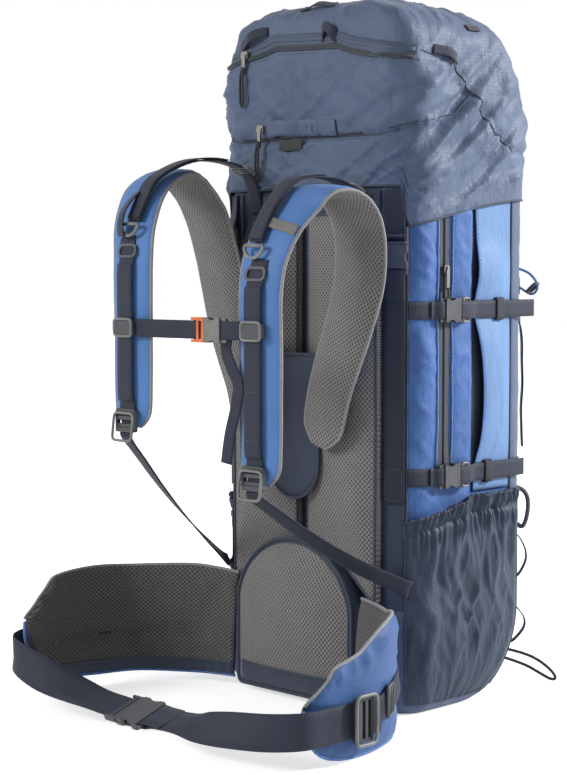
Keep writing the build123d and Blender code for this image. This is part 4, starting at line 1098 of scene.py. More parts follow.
def lid_seams():
    """Seam cords, the zip and its band, the cover's flap, stitches and small loops of the lid."""
    def on_lines(line, ends, lift=0.3):
        return [lid_side(s, line(s), lift) for s in steps(*ends, 4.0)]

    paths = []
    for name, sign in SIDES:
        paths.append([lid_side(sign * s, level(GARAGE_SEAM, s), 0.2) for s in steps(151.0, 303.0, 3.0)])
    paths.append(on_lines(cover_line, (-230.0, 230.0)))
    tubes("lid_seam_cords", paths, 0.95, "lid")
    # the zip band and its fold take the darker navy copy: painted shade
    lid_band("lid_zip_band", lambda s: zip_line(s) + 6.0, (-151.0, 151.0), 19.0, M_PAINTED_SHADE_FLAP, 1.3,
             slot="navy_ripstop", thick=1.5, replaces=("lid_zip_tapes",))
    for name, offset, size, lift, mat in (
        ("lid_zip_tape", -0.5, 6.0, 2.4, M_ZIP), ("lid_zip_fold", 9.0, 5.0, 2.2, M_PAINTED_SHADE_FLAP),
    ):
        lid_band(name, lambda s: zip_line(s) + offset, (-149.0, 149.0), size, mat, lift)
    coils = [on_lines(lambda s: zip_line(s) - 0.5, (-148.0, 148.0), 3.0)]
    coils.append(on_lines(lambda s: 653.0, (-108.0, 84.0), 0.8))
    tubes("lid_zip_coils", coils, 1.1, "lid", M_COIL, "zip_tape")
    lid_band("cover_flap", lambda s: 662.5 - 0.02 * s, (-108.0, 85.0), 19.0, M_NAVY, 1.6,
             slot="navy_ripstop", thick=1.6)
    tack = [lid_side(22.0, z, 2.6) for z in steps(654.0, 671.0, 3.0)]
    tubes("cover_flap_tack", [tack], 0.6, "lid", M_NAVY_EDGE)
    dotted = []
    for line, ends in (
        (lambda s: zip_line(s) - 7.5, (-150.0, 150.0)), (lambda s: 675.5, (-104.0, 84.0)),
        (lambda s: cover_line(s) - 3.4, (-200.0, 200.0)), (lambda s: hem_z(s) + 7.0, (-70.0, 70.0)),
    ):
        dotted.append((on_lines(line, ends, 0.15), (0, -1, 0)))
    stitches("lid_stitches", dotted, "lid", M_DARK_THREAD, "navy_ripstop", size=0.5)
    spots = [lid_side(s, 643.0, 2.2) for s in (-42.0, -30.0, -16.0, -4.0)]
    outermost = min(spot.y for spot in spots)
    tag = [(spot.x, outermost, spot.z) for spot in spots]
    flat_ribbon("lid_tag", tag, UP, 12.0, "lid", mat=M_TAG, thick=0.8, per=3, wave=0.0)
    for name, spots in (
        ("rear", ((37, 761, 1), (45, 763, 2), (54, 770, 6), (66, 773, 8), (78, 769, 6), (87, 760, 2),
                  (95, 757, 1))),
        ("corner_left", ((159, 744, 1), (164, 742, 4), (170, 739, 7), (176, 736, 4), (181, 733, 1))),
        ("corner_right", ((-134, 760, 1), (-130, 765, 6), (-124, 771, 11), (-118, 775, 8), (-112, 777, 1))),
    ):
        points = [lid_side(*spot) for spot in spots]
        flat_ribbon(f"lid_daisy_{name}", points, UP, 11.0, "lid", thick=1.4, per=4, wave=0.0)
    hem = [lid_side(s, hem_z(s) + 1.2, 0.1) for s in steps(-HALF_ROUND, HALF_ROUND, 5.0)[:-1]]
    tubes("lid_hem_cord", [hem], 1.3, "lid", closed=True)


def zip_pull_cords():
    """Dark cord loops tied to the zip sliders' pulls."""
    y = -126.6
    for name, x, z, drop in (("lid", -98.0, 731.0, 36.0), ("cover", -72.0, 643.0, 34.0)):
        path = [
            (x - 0.5, y, z + 7), (x - 2.5, y - 1.2, z), (x - 4, y - 1.5, z - 10), (x - 5, y, z - drop),
            (x - 2, y + 0.2, z - drop - 4), (x + 0.5, y - 0.5, z - drop + 2), (x, y - 1.4, z - 10),
            (x + 1, y, z + 6),
        ]
        free_cord(f"{name}_pull_cord", path, 1.5, f"{name}_slider", M_TAG)
    for name, side in SIDES:
        x = side * (HALF + 6.2)
        path = [(x, ZIP_Y, 480.0), (x + side * 1.2, ZIP_Y + 1, 472), (x + side * 1, ZIP_Y + 2.5, 462),
                (x, ZIP_Y + 0.5, 455), (x + side * 1.6, ZIP_Y - 2, 463), (x + side, ZIP_Y - 1, 480)]
        free_cord(f"side_pull_cord_{name}", path, 1.2, f"zip_{name}", M_TAG)


lid_seams()
zip_pull_cords()


# ------------------------------------------------------------------ pads
def ribbon_pad(name, rows, thick, body, mats, node, shape, ends, cup, out=1.0, looks=None, per=7, columns=18,
               power=3.6):
    """A pad along (centre, across, width) rows: its two cloths meet in sewn edges.

    Returns the piece, the vertices along both edges, and those to hold in the simulation."""
    path = catmull([(c, a, (w, 0, 0)) for c, a, w in rows], per)
    centres = [row[0] for row in path]
    run = lengths(centres)
    ring = 2 * columns
    shares = [math.sin(math.pi / 2 * (2 * k / columns - 1)) for k in range(columns + 1)]
    shares += shares[-2:0:-1]
    verts, uvs = [], []
    for (centre, across, width), tangent, at in zip(path, frames_along(centres), run):
        side = (across - tangent * across.dot(tangent)).normalized()
        up = tangent.cross(side) * out
        round_by, thin_by = 1.0, 1.0
        for gone, reach in ((at, ends[0]), (run[-1] - at, ends[1])):
            if reach > 0 and gone < reach:
                round_by *= max(0.10, math.sqrt(max(0.0, 1 - (1 - gone / reach) ** 2)))
            if gone < thick:
                thin_by *= max(0.08, math.sqrt(max(0.0, 1 - (1 - gone / thick) ** 2)))
        half = width.x / 2 * round_by
        for k, u in enumerate(shares):
            face = 1.0 if k <= columns else -1.0
            rise = thick / 2 * thin_by * (1 - abs(u) ** power) ** 0.55 * face
            bend = -cup * u * u
            extra = shape(u, at, face)
            verts.append(centre + side * (u * half) + up * (rise + bend + extra * face))
            uvs.append((u * half, at))
    faces = quads(len(path), ring)
    if out < 0:
        faces = [tuple(reversed(quad)) for quad in faces]
    sides_of = [0 if k < columns else 1 for k in range(ring)]
    if looks:
        sides_of = [looks(u, side_of) for u, side_of in zip(shares, sides_of)]
    last = (len(path) - 1) * ring
    faces += [tuple(range(ring)), tuple(last + k for k in reversed(range(ring)))]
    looks_at = sides_of * (len(path) - 1) + [0, 0]
    piece = add_piece(name, verts, faces, mats, body, "blue_ripstop", looks_at, uvs, (node,))
    edges = [[i * ring + k for i in range(len(path))] for k in (0, columns)]
    sewn = set(edges[0] + edges[1]) | set(range(ring)) | set(range(last, last + ring))
    return piece, edges, sorted(sewn)


def disc_pad(name, outline, base, thick, mats, slot, node, shape, rings=15, edge=0.5, power=2.4,
             rim_mat=0):
    """A domed pad on the bag's back, from its (x, z) outline; returns it and its edge."""
    loop = [Vector((x, 0, z)) for x, z in outline]
    loop.append(loop[0])
    run = lengths(loop)
    count = round(run[-1] / 4.5)
    rim = []
    for j in range(count):
        at = run[-1] * j / count
        k = max(i for i in range(len(run)) if run[i] <= at)
        rim.append(loop[k].lerp(loop[k + 1], (at - run[k]) / (run[k + 1] - run[k])))
    for _ in range(3):
        rim = [(rim[j - 1] + 2 * rim[j] + rim[(j + 1) % count]) / 4 for j in range(count)]
    middle = sum(rim, Vector()) / count
    verts = []
    for grow, lift in ((1.0, 0.0), (1.004, 0.25), (1.0, 0.62)):
        for p in rim:
            q = middle + (p - middle) * grow
            verts.append(Vector((q.x, base - thick * edge * lift / 0.62, q.z)))
    for k in range(1, rings + 1):
        r = 1 - k / (rings + 0.6)
        for p in rim:
            q = middle + (p - middle) * r
            rise = edge + (1 - edge) * (1 - r**power)
            verts.append(Vector((q.x, base - thick * rise - shape(q.x, q.z, r), q.z)))
    total = len(verts) // count
    verts.append(Vector((middle.x, base - thick - shape(middle.x, middle.z, 0), middle.z)))
    faces = quads(total, count)
    looks_at = [rim_mat] * (3 * count) + [0] * ((total - 3) * count + 1)
    faces += fan((total - 1) * count, count, len(verts) - 1) + [tuple(reversed(range(count)))]
    uvs = [(v.x, v.z) for v in verts]
    piece = add_piece(name, verts, faces, mats, "root", slot, looks_at, uvs, (node,))
    area = sum((a.x * b.z - b.x * a.z) for a, b in zip(rim, rim[1:] + rim[:1]))
    if area < 0:
        piece.data.flip_normals()
    return piece, list(range(2 * count, 3 * count)), count


STRAPS = {
    "left": {"side": 1, "front": -284.0, "top": 592.0, "low": 268.0, "corner": -109.4},
    "right": {"side": -1, "front": -304.0, "top": 617.0, "low": 320.0, "corner": -110.5},
}
STRAP_X = 92.0
LEAF_Y = -150.0
STRAP_T = 14.0
LIFTER_X = 87.0


def strap_rows(name):
    """The shoulder pad's centre line from the yoke over the arch and down the chest."""
    shape = STRAPS[name]
    side, front, top, low = shape["side"], shape["front"], shape["top"], shape["low"]
    rows = [
        (50.0, LEAF_Y, 300.0, 40.0),
        (58.0, LEAF_Y, 326.0, 58.0),
        (70.0, LEAF_Y, 372.0, 62.0),
        (94.0, LEAF_Y, 432.0, 66.0),
        (114.0, LEAF_Y - 2, top - 102, 70.0),
        (124.0, LEAF_Y - 14, top - 48, 72.0),
        (126.0, LEAF_Y - 42, top - 14, 72.0),
        (120.0, LEAF_Y - 76, top - 7, 70.0),
        (108.0, front + 36, top - 26, 68.0),
        (98.0, front + 10, top - 62, 66.0),
        (STRAP_X, front, top - 108, 62.0),
        (STRAP_X, front, (top - 108 + low + 34) / 2, 61.0),
        (STRAP_X, front, low + 34, 59.0),
        (STRAP_X, front, low + 2, 50.0),
    ]
    return [((side * x, y, z), (1, 0, 0), width) for x, y, z, width in rows]


def build_shoulder_pads():
    """Both shoulder pads, with their sewn edges."""
    made = {}
    for name, strap in STRAPS.items():
        def shape(u, at, face):
            crumple = 1.5 * rumple(at, u * 30.0, 24.0, 60.0, 3.3 + strap["side"]) * bell(at, 330.0, 70.0)
            return crumple * (0.5 + 0.5 * abs(u)) + 0.5 * rumple(at, u * 30, 70.0, 40.0, 9.1)

        piece, edges, sewn = ribbon_pad(
            f"shoulder_pad_cloth_{name}", strap_rows(name), STRAP_T - 3.5, f"strap_{name}",
            [M_BLUE_PAD, M_MESH], f"shoulder_pad_{name}", shape, (26.0, 24.0), 1.6,
        )
        stuff(piece, sewn, 4.0, 2.6)
        made[name] = (piece, edges)
    return made


WING_ROWS = {
    "left": [
        (99.0, -139.0, 12.0, 133.0), (126.0, -146.0, 10.0, 131.0), (158.0, -160.0, 8.0, 129.0),
        (205.0, -206.0, 5.0, 137.0), (221.0, -262.0, 3.0, 112.0), (221.0, -314.0, 9.0, 98.0),
        (215.0, -345.0, 42.0, 84.0),
    ],
    "right": [
        (99.0, -139.0, 12.0, 138.0), (126.0, -146.0, 12.0, 141.0), (158.0, -160.0, 12.0, 143.0),
        (205.0, -206.0, 14.0, 142.0), (221.0, -262.0, 15.0, 144.0), (221.0, -322.0, 22.0, 138.0),
        (215.0, -350.0, 52.0, 124.0), (211.0, -366.0, 78.0, 114.0),
    ],
}
WING_T = 17.0
WING_COLUMNS = 26
WING_SEAM = 2 * WING_COLUMNS - 6


def build_wings():
    """The hip belt's two wings, with their sewn edges."""
    made = {}
    for name, side in SIDES:
        rows = []
        for x, y, low, high in WING_ROWS[name]:
            rows.append(((side * x, y, (low + high) / 2), UP, high - low))

        def shape(u, at, face):
            folds = 1.6 * rumple(at, u * 60.0, 30.0, 90.0, 5.7 + side) * (0.4 if face < 0 else 1.0)
            folds *= 1 - u * u
            sway = 2 * noise.noise(Vector((at * 0.05, 0, side)))
            gather = 1.6 * math.sin(at * 0.42 + sway) * bell(u, -0.86, 0.12)
            if face < 0:
                crease = -5.0 * bell(u, -0.22, 0.07) * smooth_step(at, 20, 50)
                return folds + (crease * (1 - smooth_step(at, 200, 250)) + gather)
            shirr = 1.7 * math.sin(at * 0.75 + 2 * sway + 1.5 * u)
            shirr *= smooth_step(u, 0.15, 0.6) * (1 - smooth_step(u, 0.9, 1.0))
            seam = -3.6 * bell(at, 196.0, 5.0) * (1 - smooth_step(abs(u), 0.86, 1.0))
            wrinkle = 2.6 * ridge(at - 24.0 * u, 40.0 * u, 36.0, 80.0, 171.0 + side) * (1 - u**4)
            webbing = smooth_step(at, 112.0, 150.0) * (1 - smooth_step(abs(u + 0.2), 0.75, 0.95))
            return (folds + (gather + shirr + seam + wrinkle)) * (1 - 0.85 * webbing) - 1.9 * webbing

        # the wings take darker copies of the blue cloth and the spacer mesh: painted shade
        piece, edges, sewn = ribbon_pad(
            f"hip_wing_cloth_{name}", rows, WING_T - 4.0, f"hip_{name}",
            [M_BLUE_PAINTED_SHADE, M_PAINTED_SHADE_MESH, M_NAVY_DARK], f"hip_wing_{name}", shape, (0.0, 34.0), -3.0, out=-side,
            looks=lambda u, side_of: 2 if side_of == 1 and u < -0.74 else side_of,
            columns=WING_COLUMNS, per=9, power=5.0,
        )
        stuff(piece, sewn, 4.0, 3.0)
        made[name] = (piece, edges)
    return made


def build_back():
    """The two mesh pads, the lumbar pad and the adjuster panel on the back."""
    base = BACK - 0.3
    pads = {}
    for name, side in SIDES:
        outline = [(9, 184), (58, 172), (97, 138), (113, 122), (114, 320), (113, 505), (82, 562), (9, 562)]

        def shape(x, z, r):
            crease = -3.0 * bell(z - abs(x) * 1.1, 300.0, 7.0) - 3.0 * bell(z + abs(x) * 0.9, 420.0, 7.0)
            return (1 - r**4) * (crease + 1.0 * rumple(x, z, 40.0, 24.0, 23.0 + side))

        outline = [(side * x, z) for x, z in outline]
        piece, edge, count = disc_pad(f"back_pad_cloth_{name}", outline, base, 21.0, [M_MESH],
                                      "spacer_mesh", f"back_pad_{name}", shape)
        stuff(piece, list(range(3 * count)), 4.0, 2.0)
        pads[name] = (piece, edge)
    wide, shoulder, peak = 92, 120, 190
    rise = peak - shoulder
    radius = (wide**2 + rise**2) / (2 * rise)
    arch = [(-wide, 8), (wide, 8), (wide, shoulder)]
    for k in range(1, 24):
        x = wide - 2 * wide * k / 24
        arch.append((x, peak - radius + math.sqrt(radius**2 - x * x)))
    arch.append((-wide, shoulder))

    def shape(x, z, r):
        return (1 - r**5) * (0.8 * rumple(x, z, 60.0, 40.0, 29.0) - 2.0 * bell(z, 34.0, 5.0))

    lumbar, rim, count = disc_pad("lumbar_cloth", arch, base, 41.0, [M_MESH, M_NAVY_DARK], "spacer_mesh",
                                  "lumbar_pad", shape, rings=18, edge=0.62, power=2.2, rim_mat=1)
    stuff(lumbar, list(range(3 * count)), 4.0, 2.5)
    pads["lumbar"] = (lumbar, rim)
    tip = [(40, 277), (40, 404), (-40, 404), (-40, 277)]
    for k in range(1, 12):
        turn = math.pi * k / 12
        tip.append((-40 * math.cos(turn), 277 - 40 * math.sin(turn)))
    piece, rim, count = disc_pad("adjuster_cloth", tip, BACK - 23.6, 3.8, [M_NAVY_DARK], "navy_ripstop",
                                 "adjuster_panel", lambda x, z, r: 0.0, edge=0.7, rings=8)
    pads["adjuster"] = (piece, rim)
    return pads


SHOULDERS = build_shoulder_pads()
WINGS = build_wings()
BACK_PADS = build_back()
blow_up_pads()


def pad_edges():
    """Bindings round the finished pads."""
    for name, (piece, edges) in SHOULDERS.items():
        paths = [at_vertices(piece, edge[1:-1]) for edge in edges]
        tubes(f"shoulder_piping_{name}", paths, 1.9, f"strap_{name}", M_PIPING, "blue_ripstop", 8)
    for name, (piece, edges) in WINGS.items():
        lower, upper = ([at_vertices(piece, edge)] for edge in edges)
        tubes(f"hip_wing_piping_{name}", upper, 1.9, f"hip_{name}", M_PIPING, "blue_ripstop", 8)
        tubes(f"hip_wing_edge_{name}", lower, 1.9, f"hip_{name}", M_BLUE_EDGE, "blue_ripstop", 8)
    for name, (piece, rim) in BACK_PADS.items():
        size = 2.2 if name == "lumbar" else 1.6
        tubes(f"back_piping_{name}", [at_vertices(piece, rim)], size, sides=8, closed=True)


def pad_bands():
    """The lumbar pad's lower navy band and the seam along each hip wing's inner face."""
    cast = on_piece(BACK_PADS["lumbar"][0])

    def wrap(x, z):
        return cast((x, BACK - 10.0, z), (0, -1, 0), 1.0)

    xs = steps(-82.0, 82.0, 4.0)
    cloth_sheet("lumbar_band", wrap, xs, steps(13.0, 36.0, 3.0), 0.9, [M_NAVY_DARK])
    tubes("lumbar_band_cord", [[wrap(x, 36.0) for x in xs]], 1.2, sides=8)
    for name, (piece, edges) in WINGS.items():
        path = at_vertices(piece, [start + WING_SEAM for start in edges[0][:-1]])
        tubes(f"hip_wing_seam_{name}", [path], 1.3, f"hip_{name}")


pad_edges()
pad_bands()


# ------------------------------------------------------------------ webbing
BUCKLE_T = 9.0
LOW = -BUCKLE_T / 2 + 0.8
WAIST_TILT = 70.0


def fold_at(web):
    """How far behind a buckle's mouth its bar stands, for webbing of a width."""
    return -(0.85 * web + 5.0) - 2.0


def edge_path(origin, along, outward, points):
    """Points given as (along, outward) distances from an origin."""
    origin, along, outward = Vector(origin), Vector(along), Vector(outward)
    return [origin + along * x + outward * y for x, y in points]


def bar_turn(fold):
    """The webbing's way round a buckle's bar, as (along, outward) places."""
    return [(fold - 0.5, -2.6), (fold + 1.6, 0), (fold - 0.5, 2.6)]


BENDING = []


def bending(piece, body_a, body_b, start, end):
    """Note webbing that bends between two bodies, from start on one to end on the other."""
    BENDING.append((piece, body_a, body_b, start, end))


def straps_round_corners():
    """The compression straps: a fixed rear loop, a front run through its plug, and a keeper."""
    for name, side in SIDES:
        for height, z in zip(("upper", "lower"), STRAP_LEVELS):
            tag = f"{name}_{height}"
            upper = height == "upper"
            origin = (side * 156.3, -38.0, z)
            low = LOW - 1.5
            fold = fold_at(20.0)
            rear = [bag_point(side * s, z, 1.1) for s in (144, 151, 158, 165)]
            loop = [(-36.5, low), (-35, low), (fold - 4, -3.4)] + bar_turn(fold)
            loop += [(fold - 5, 1.4), (-35, low + 2.3), (-40, low + 2.2)]
            rear += edge_path(origin, (0, 1, 0), (side, 0, 0), loop)
            flat_ribbon(f"compression_rear_{tag}", rear, UP, 20.0, "root", wave=0.0)
            front = [bag_point(side * s, z, 1.1) for s in (349, 342, 334, 326, 318)]
            path = [(90, low), (66, low), (44, low), (34, -3.4), (24, -0.6), (10, 0), (5.0, 0.4)]
            path += [(3.4, 2.2), (5.4, 4.2), (14, 4.4), (24, 3.4), (38, low + 2.6)]
            path += [(56, low + 2.4), (80, low + 2.4)]
            front += edge_path(origin, (0, 1, 0), (side, 0, 0), path)
            for s, off in ((-26, 3.5), (-4, 3.8), (10, 4.6)):
                front.append(bag_point(side * (SIDE_END + s), z, off))
            front.append(front[-1] + Vector((side * -1.0, (30 if upper else 12) * 0.95, 0)))
            webbing = flat_ribbon(f"compression_front_{tag}", front, UP, 20.0, None, wave=0.0)
            x = side * 152.0
            bending(webbing, "root", f"compression_{tag}", (x, 22.0, z), (x, -22.0, z))
            y = 43.0 if upper else 24.0
            loop = [(0.2, -12.4), (4.6, -12.0), (5.4, -6), (5.6, 0), (5.4, 6), (4.6, 12.0), (0.2, 12.4)]
            keeper = [(side * 150.0 + side * a, y, z + b) for a, b in loop]
            flat_ribbon(f"strap_keeper_{tag}", keeper, (0, 1, 0), 14.0, "root", mat=M_WEB_DARK, thick=1.2,
                        per=3, wave=0)
    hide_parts("compression_anchors")
    for name, side in SIDES:
        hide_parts(f"compression_webbing_{name}")


def lid_straps():
    """The rear and front straps that hold the lid down."""
    turn = math.asin((128.0 - REAR_RUN) / CORNER)
    fold = fold_at(25.0)
    stitched = []
    for name, side in SIDES:
        outward = Vector((side * math.sin(turn), -math.cos(turn), 0))
        across = Vector((math.cos(turn), side * math.sin(turn), 0)) * -1
        reach = CORNER + 0.3 + BUCKLE_T / 2
        origin = Vector((side * REAR_RUN, BACK + CORNER, 528.0)) + outward * reach

        def on(points):
            return edge_path(origin, UP, outward, points)

        down = [(-289, LOW), (-240, LOW), (-150, LOW), (-54, LOW), (fold - 4, -3.4)] + bar_turn(fold)
        down += [(fold - 8, 1.4), (-54, LOW + 2.4), (-62, LOW + 2.3)]
        flat_ribbon(f"lid_strap_low_{name}", on(down), across, 25.0, "root")
        up = [(6, 0.4), (16, 0.0), (24, -0.6), (34, -2.6), (44, LOW), (60, LOW)]
        flat_ribbon(f"lid_strap_high_{name}", on(up), across, 25.0, "root")
        face = LOW + 0.95
        ends = on([(-286, face), (-250, face)])
        for x in (-9.5, 9.5):
            stitched.append(([p + across * x for p in ends], outward))
        for foot in ends:
            stitched.append(([foot - across * 9.5, foot + across * 9.5], outward))
    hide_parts("lid_strap_webbing")
    stitches("lid_strap_stitches", stitched, "root", M_DARK_THREAD)
    hem_y = box_mm("lid_shell")[1].y + 1.1
    skin = FRONT + 1.1
    for name, side in SIDES:
        x = side * 85.0
        middle = 530.0 - (0.85 * 25 + 5) / 2
        arm = Vector((0, 127.0 + 119.8, middle - 592.0)).normalized()
        along = Vector((0, -arm.z, arm.y))
        origin = Vector((x, 127.0, 530.0))
        points = [Vector((x, skin, z)) for z in (330, 400, 470, 488)]
        points += edge_path(origin, along, arm, [(fold - 6, -3)] + bar_turn(fold))
        points += [Vector((x, skin + 3.6, 492)), Vector((x, skin + 2.4, 476))]
        flat_ribbon(f"front_strap_{name}", points, (1, 0, 0), 25.0, "root")
        points = edge_path(origin, along, arm, [(5, 0.4), (14, 0), (24, 0)])
        points += [Vector((x, hem_y, z)) for z in (592, 615, 640)]
        flat_ribbon(f"lid_front_strap_{name}", points, (1, 0, 0), 25.0, "lid")
    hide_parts("lid_front_webbing")


def small_loops():
    """The haul loop, the tool loops on the front and the two loops on the lid."""
    haul = ((-74, 0), (-64, 0), (-58, 6), (-53, 11), (-47, 12.4), (-41, 11), (-36, 6), (-30, 0), (-20, 0))
    flat_ribbon("haul_loop_webbing", [(x, BACK - 1.1 - y, 576.0) for x, y in haul], UP, 20.0, "root",
                mat=M_WEB_PALE, replaces=("haul_loop",))
    tool = ((0, 210), (0, 200), (5, 191), (11, 184), (12.6, 174), (11, 164), (5, 157), (0, 148), (0, 138))
    for name, side in SIDES:
        points = [(side * 60.0, FRONT + 1.1 + y, z) for y, z in tool]
        flat_ribbon(f"tool_loop_{name}", points, (1, 0, 0), 12.0, "root",
                    replaces=("tool_loops",) if name == "left" else ())
    for name, y, z, angle in (("rear", -99.0, 802.0, 27.0), ("front", 50.0, 777.0, -47.0)):
        turn = math.radians(angle)
        slope = Vector((0, -math.sin(turn), math.cos(turn)))
        points = []
        for x, lift in ((26, 1.0), (20, 1.2), (12, 2.4), (6, 3.6), (0, 4.0)):
            points.append(on_lid((-x, y, z), slope) + slope * lift)
        for x, lift in ((6, 3.6), (12, 2.4), (20, 1.2), (26, 1.0)):
            points.append(on_lid((x, y, z), slope) + slope * lift)
        flat_ribbon(f"lid_loop_{name}", points, (0, slope.z, -slope.y), 12.0, "lid",
                    replaces=("lid_loops",) if name == "rear" else ())


def shoulder_webbing():
    """The webbing sewn down each strap's chest and the load lifter above it."""
    for name, strap in STRAPS.items():
        side, front, top, low = strap["side"], strap["front"], strap["top"], strap["low"]
        face = front - STRAP_T / 2 - 1.1
        raised = face - 3.2
        x = side * STRAP_X
        points = [
            (x, face - 2.5, low + 14), (x, face, low + 26), (x, face, low + 34), (x, raised, low + 44),
            (x, raised, (low + top) / 2 - 20), (x, raised, top - 118), (x, face, top - 108),
            (x + side * 1.5, face + 2.4, top - 97), (x + side * 3.5, face + 6.0, top - 80),
        ]
        flat_ribbon(f"chest_webbing_{name}", points, (1, 0, 0), 25.0, f"strap_{name}",
                    replaces=(f"shoulder_webbing_{name}",), wave=0.0)
        lifter = [(side * LIFTER_X, y, z) for y, z in lifter_path(name)]
        piece = flat_ribbon(f"load_lifter_webbing_{name}", lifter, (1, 0, 0), 20.0, None,
                            replaces=(f"load_lifter_{name}",))
        bending(piece, "root", f"strap_{name}", lifter[1], lifter[4])


def lower_webbing():
    """The straps from the pads' lower ends, twisting as they sag to the bag's foot."""
    for name, strap in STRAPS.items():
        side, low = strap["side"], strap["low"]
        start = Vector((side * STRAP_X, strap["front"] - 9.0, low - 8.0))
        end = Vector((side * 146.0, strap["corner"], 146.0))
        run = end - start
        rows = [(start + Vector((0, 1.5, 22.0)), (1, 0, 0)), (start + Vector((0, 0.5, 9.0)), (1, 0, 0))]
        for t in (0.0, 0.12, 0.3, 0.5, 0.7, 0.88, 1.0):
            sag = Vector((0, 0, -9.0 * math.sin(math.pi * t)))
            turn = math.radians(10 + 48 * t)
            across = Vector((math.cos(turn), 0, 0)) + Vector((0, side * 0.2, 0.95)) * math.sin(turn) * side
            rows.append((start + run * t + sag, across))
        for s, z in ((146.0, 143.0), (153.0, 139.0), (160.0, 135.0)):
            rows.append((bag_point(side * s, z, 2.0), (0, side * 0.1, 1)))
        piece = ribbon(f"lower_webbing_{name}", rows, 20.0, None, replaces=(f"lower_strap_{name}",))
        bending(piece, "root", f"strap_{name}", end, start)


def frame_ring(name, centre, along, across, size, radius, body, mat=M_PALE, corner=0.3):
    """A rounded rectangular wire or moulded frame in the plane of along and across."""
    centre, along, across = Vector(centre), Vector(along).normalized(), Vector(across).normalized()
    points = []
    for k in range(32):
        turn = 2 * math.pi * k / 32
        c, d = math.cos(turn), math.sin(turn)
        a = math.copysign(abs(c) ** corner, c) * size[0] / 2
        b = math.copysign(abs(d) ** corner, d) * size[1] / 2
        points.append(centre + along * a + across * b)
    return rods(name, [points], radius, body, mat, closed=True)


def cross_bars(centre, run, across, gap):
    """Ends of the two bars of a lock: across both ways, gap apart along run."""
    return [[centre + run * k - across, centre + run * k + across] for k in (-gap, gap)]


def lifter_path(name):
    """The load lifter's (y, z) places from the back over the pad's crest."""
    strap = STRAPS[name]
    front, crest = strap["front"], strap["top"]
    return [
        (BACK - 1.1, 566.0), (BACK - 1.6, 580.0), (BACK - 18, crest - 4), (BACK - 60, crest + 8),
        (LEAF_Y - 76, crest + 5), (front + 30, crest - 15), (front + 12, crest - 38), (front - 1, crest - 62),
    ]


def strap_details():
    """Second layer of the load lifter, its lock and tail, the ring below it, and sewn marks."""
    for name, strap in STRAPS.items():
        side, front, top, low = strap["side"], strap["front"], strap["top"], strap["low"]
        body = f"strap_{name}"
        x = side * LIFTER_X
        line = [row[0] for row in catmull([(Vector((x, y, z)),) for y, z in lifter_path(name)], 8)]
        runs = lengths(line)
        upper = []
        for point, tangent, run in zip(line, frames_along(line), runs):
            if 88.0 < run < runs[-1] - 2.0:
                upper.append(point + Vector((0, -abs(tangent.z), abs(tangent.y))) * 2.2)
        flat_ribbon(f"load_lifter_fold_{name}", upper, (1, 0, 0), 20.0, body, wave=0.0, per=2)

        def row_of(spot, half):
            return [spot - Vector((half, 0, 0)), spot + Vector((half, 0, 0))]

        ends = [(row_of(upper[k] + Vector((0, -0.5, 0.9)), 9), (0, -0.5, 0.9)) for k in (1, 3)]
        stitches(f"load_lifter_stitches_{name}", ends, body, M_PIPING, size=0.45)
        lock = Vector((x, BACK - 22.0, top - 1.5))
        slope = Vector((0, -18.0, 10.0)).normalized()
        frame_ring(f"lifter_lock_{name}", lock, slope, (1, 0, 0), (17.0, 27.0), 2.0, body)
        rods(f"lifter_bars_{name}", cross_bars(lock, slope, Vector((12.5, 0, 0)), 2.5), 1.5, body)
        ring = []
        foot = Vector((x + side * 2.0, front - 4.5, top - 66.0))
        for k in range(13):
            c, d = math.cos(math.pi * k / 12), math.sin(math.pi * k / 12)
            ring.append(foot + Vector((14.0 * c, -1.5 - 2.0 * d, -13.0 * d)))
        rods(f"strap_ring_{name}", [ring, [ring[0], ring[-1]]], 2.0, body)
        frame_ring(f"shoulder_lock_frame_{name}", (side * STRAP_X, front - 15.5, low + 5.0), (0, 0.12, 1),
                   (1, 0, 0), (31.0, 33.0), 1.6, body)
        face = front - STRAP_T / 2 - 1.1 - 4.2
        spots = [Vector((side * STRAP_X, face, low + z)) for z in (38.0, 52.0, 104.0)]
        marks = [(row_of(spot, 11.5), (0, -1, 0)) for spot in spots]
        stitches(f"chest_webbing_marks_{name}", marks, body, M_DARK_THREAD, size=0.5)
        if name == "left":
            on_strap = on_piece(SHOULDERS[name][0])
            rows = []
            for k in steps(72.0, 132.0, 6.0):
                z = 549.0 - 0.22 * (k - 92.0)
                out = (0, -0.85, 0.53)
                below, above = (on_strap((k, front + 16.0, z + rise), out) for rise in (-5, 5))
                spot = on_strap((k, front + 16.0, z), out, 1.0 + 5.4 * bell(k, LIFTER_X, 15.0))
                rows.append((spot, (above - below).normalized()))
            ribbon("strap_label_band", rows, 12.5, body, M_LABEL, thick=1.0, per=4, wave=0.0)
        else:
            tail = ((16, -30), (4, -40), (-6, -52), (-10, -66), (-9, -80))
            points = [(x + side * 13.0, front + y, top + z) for y, z in tail]
            flat_ribbon("lifter_tail", points, (0.9, -0.3, 0.1), 16.0, body, wave=0.6)


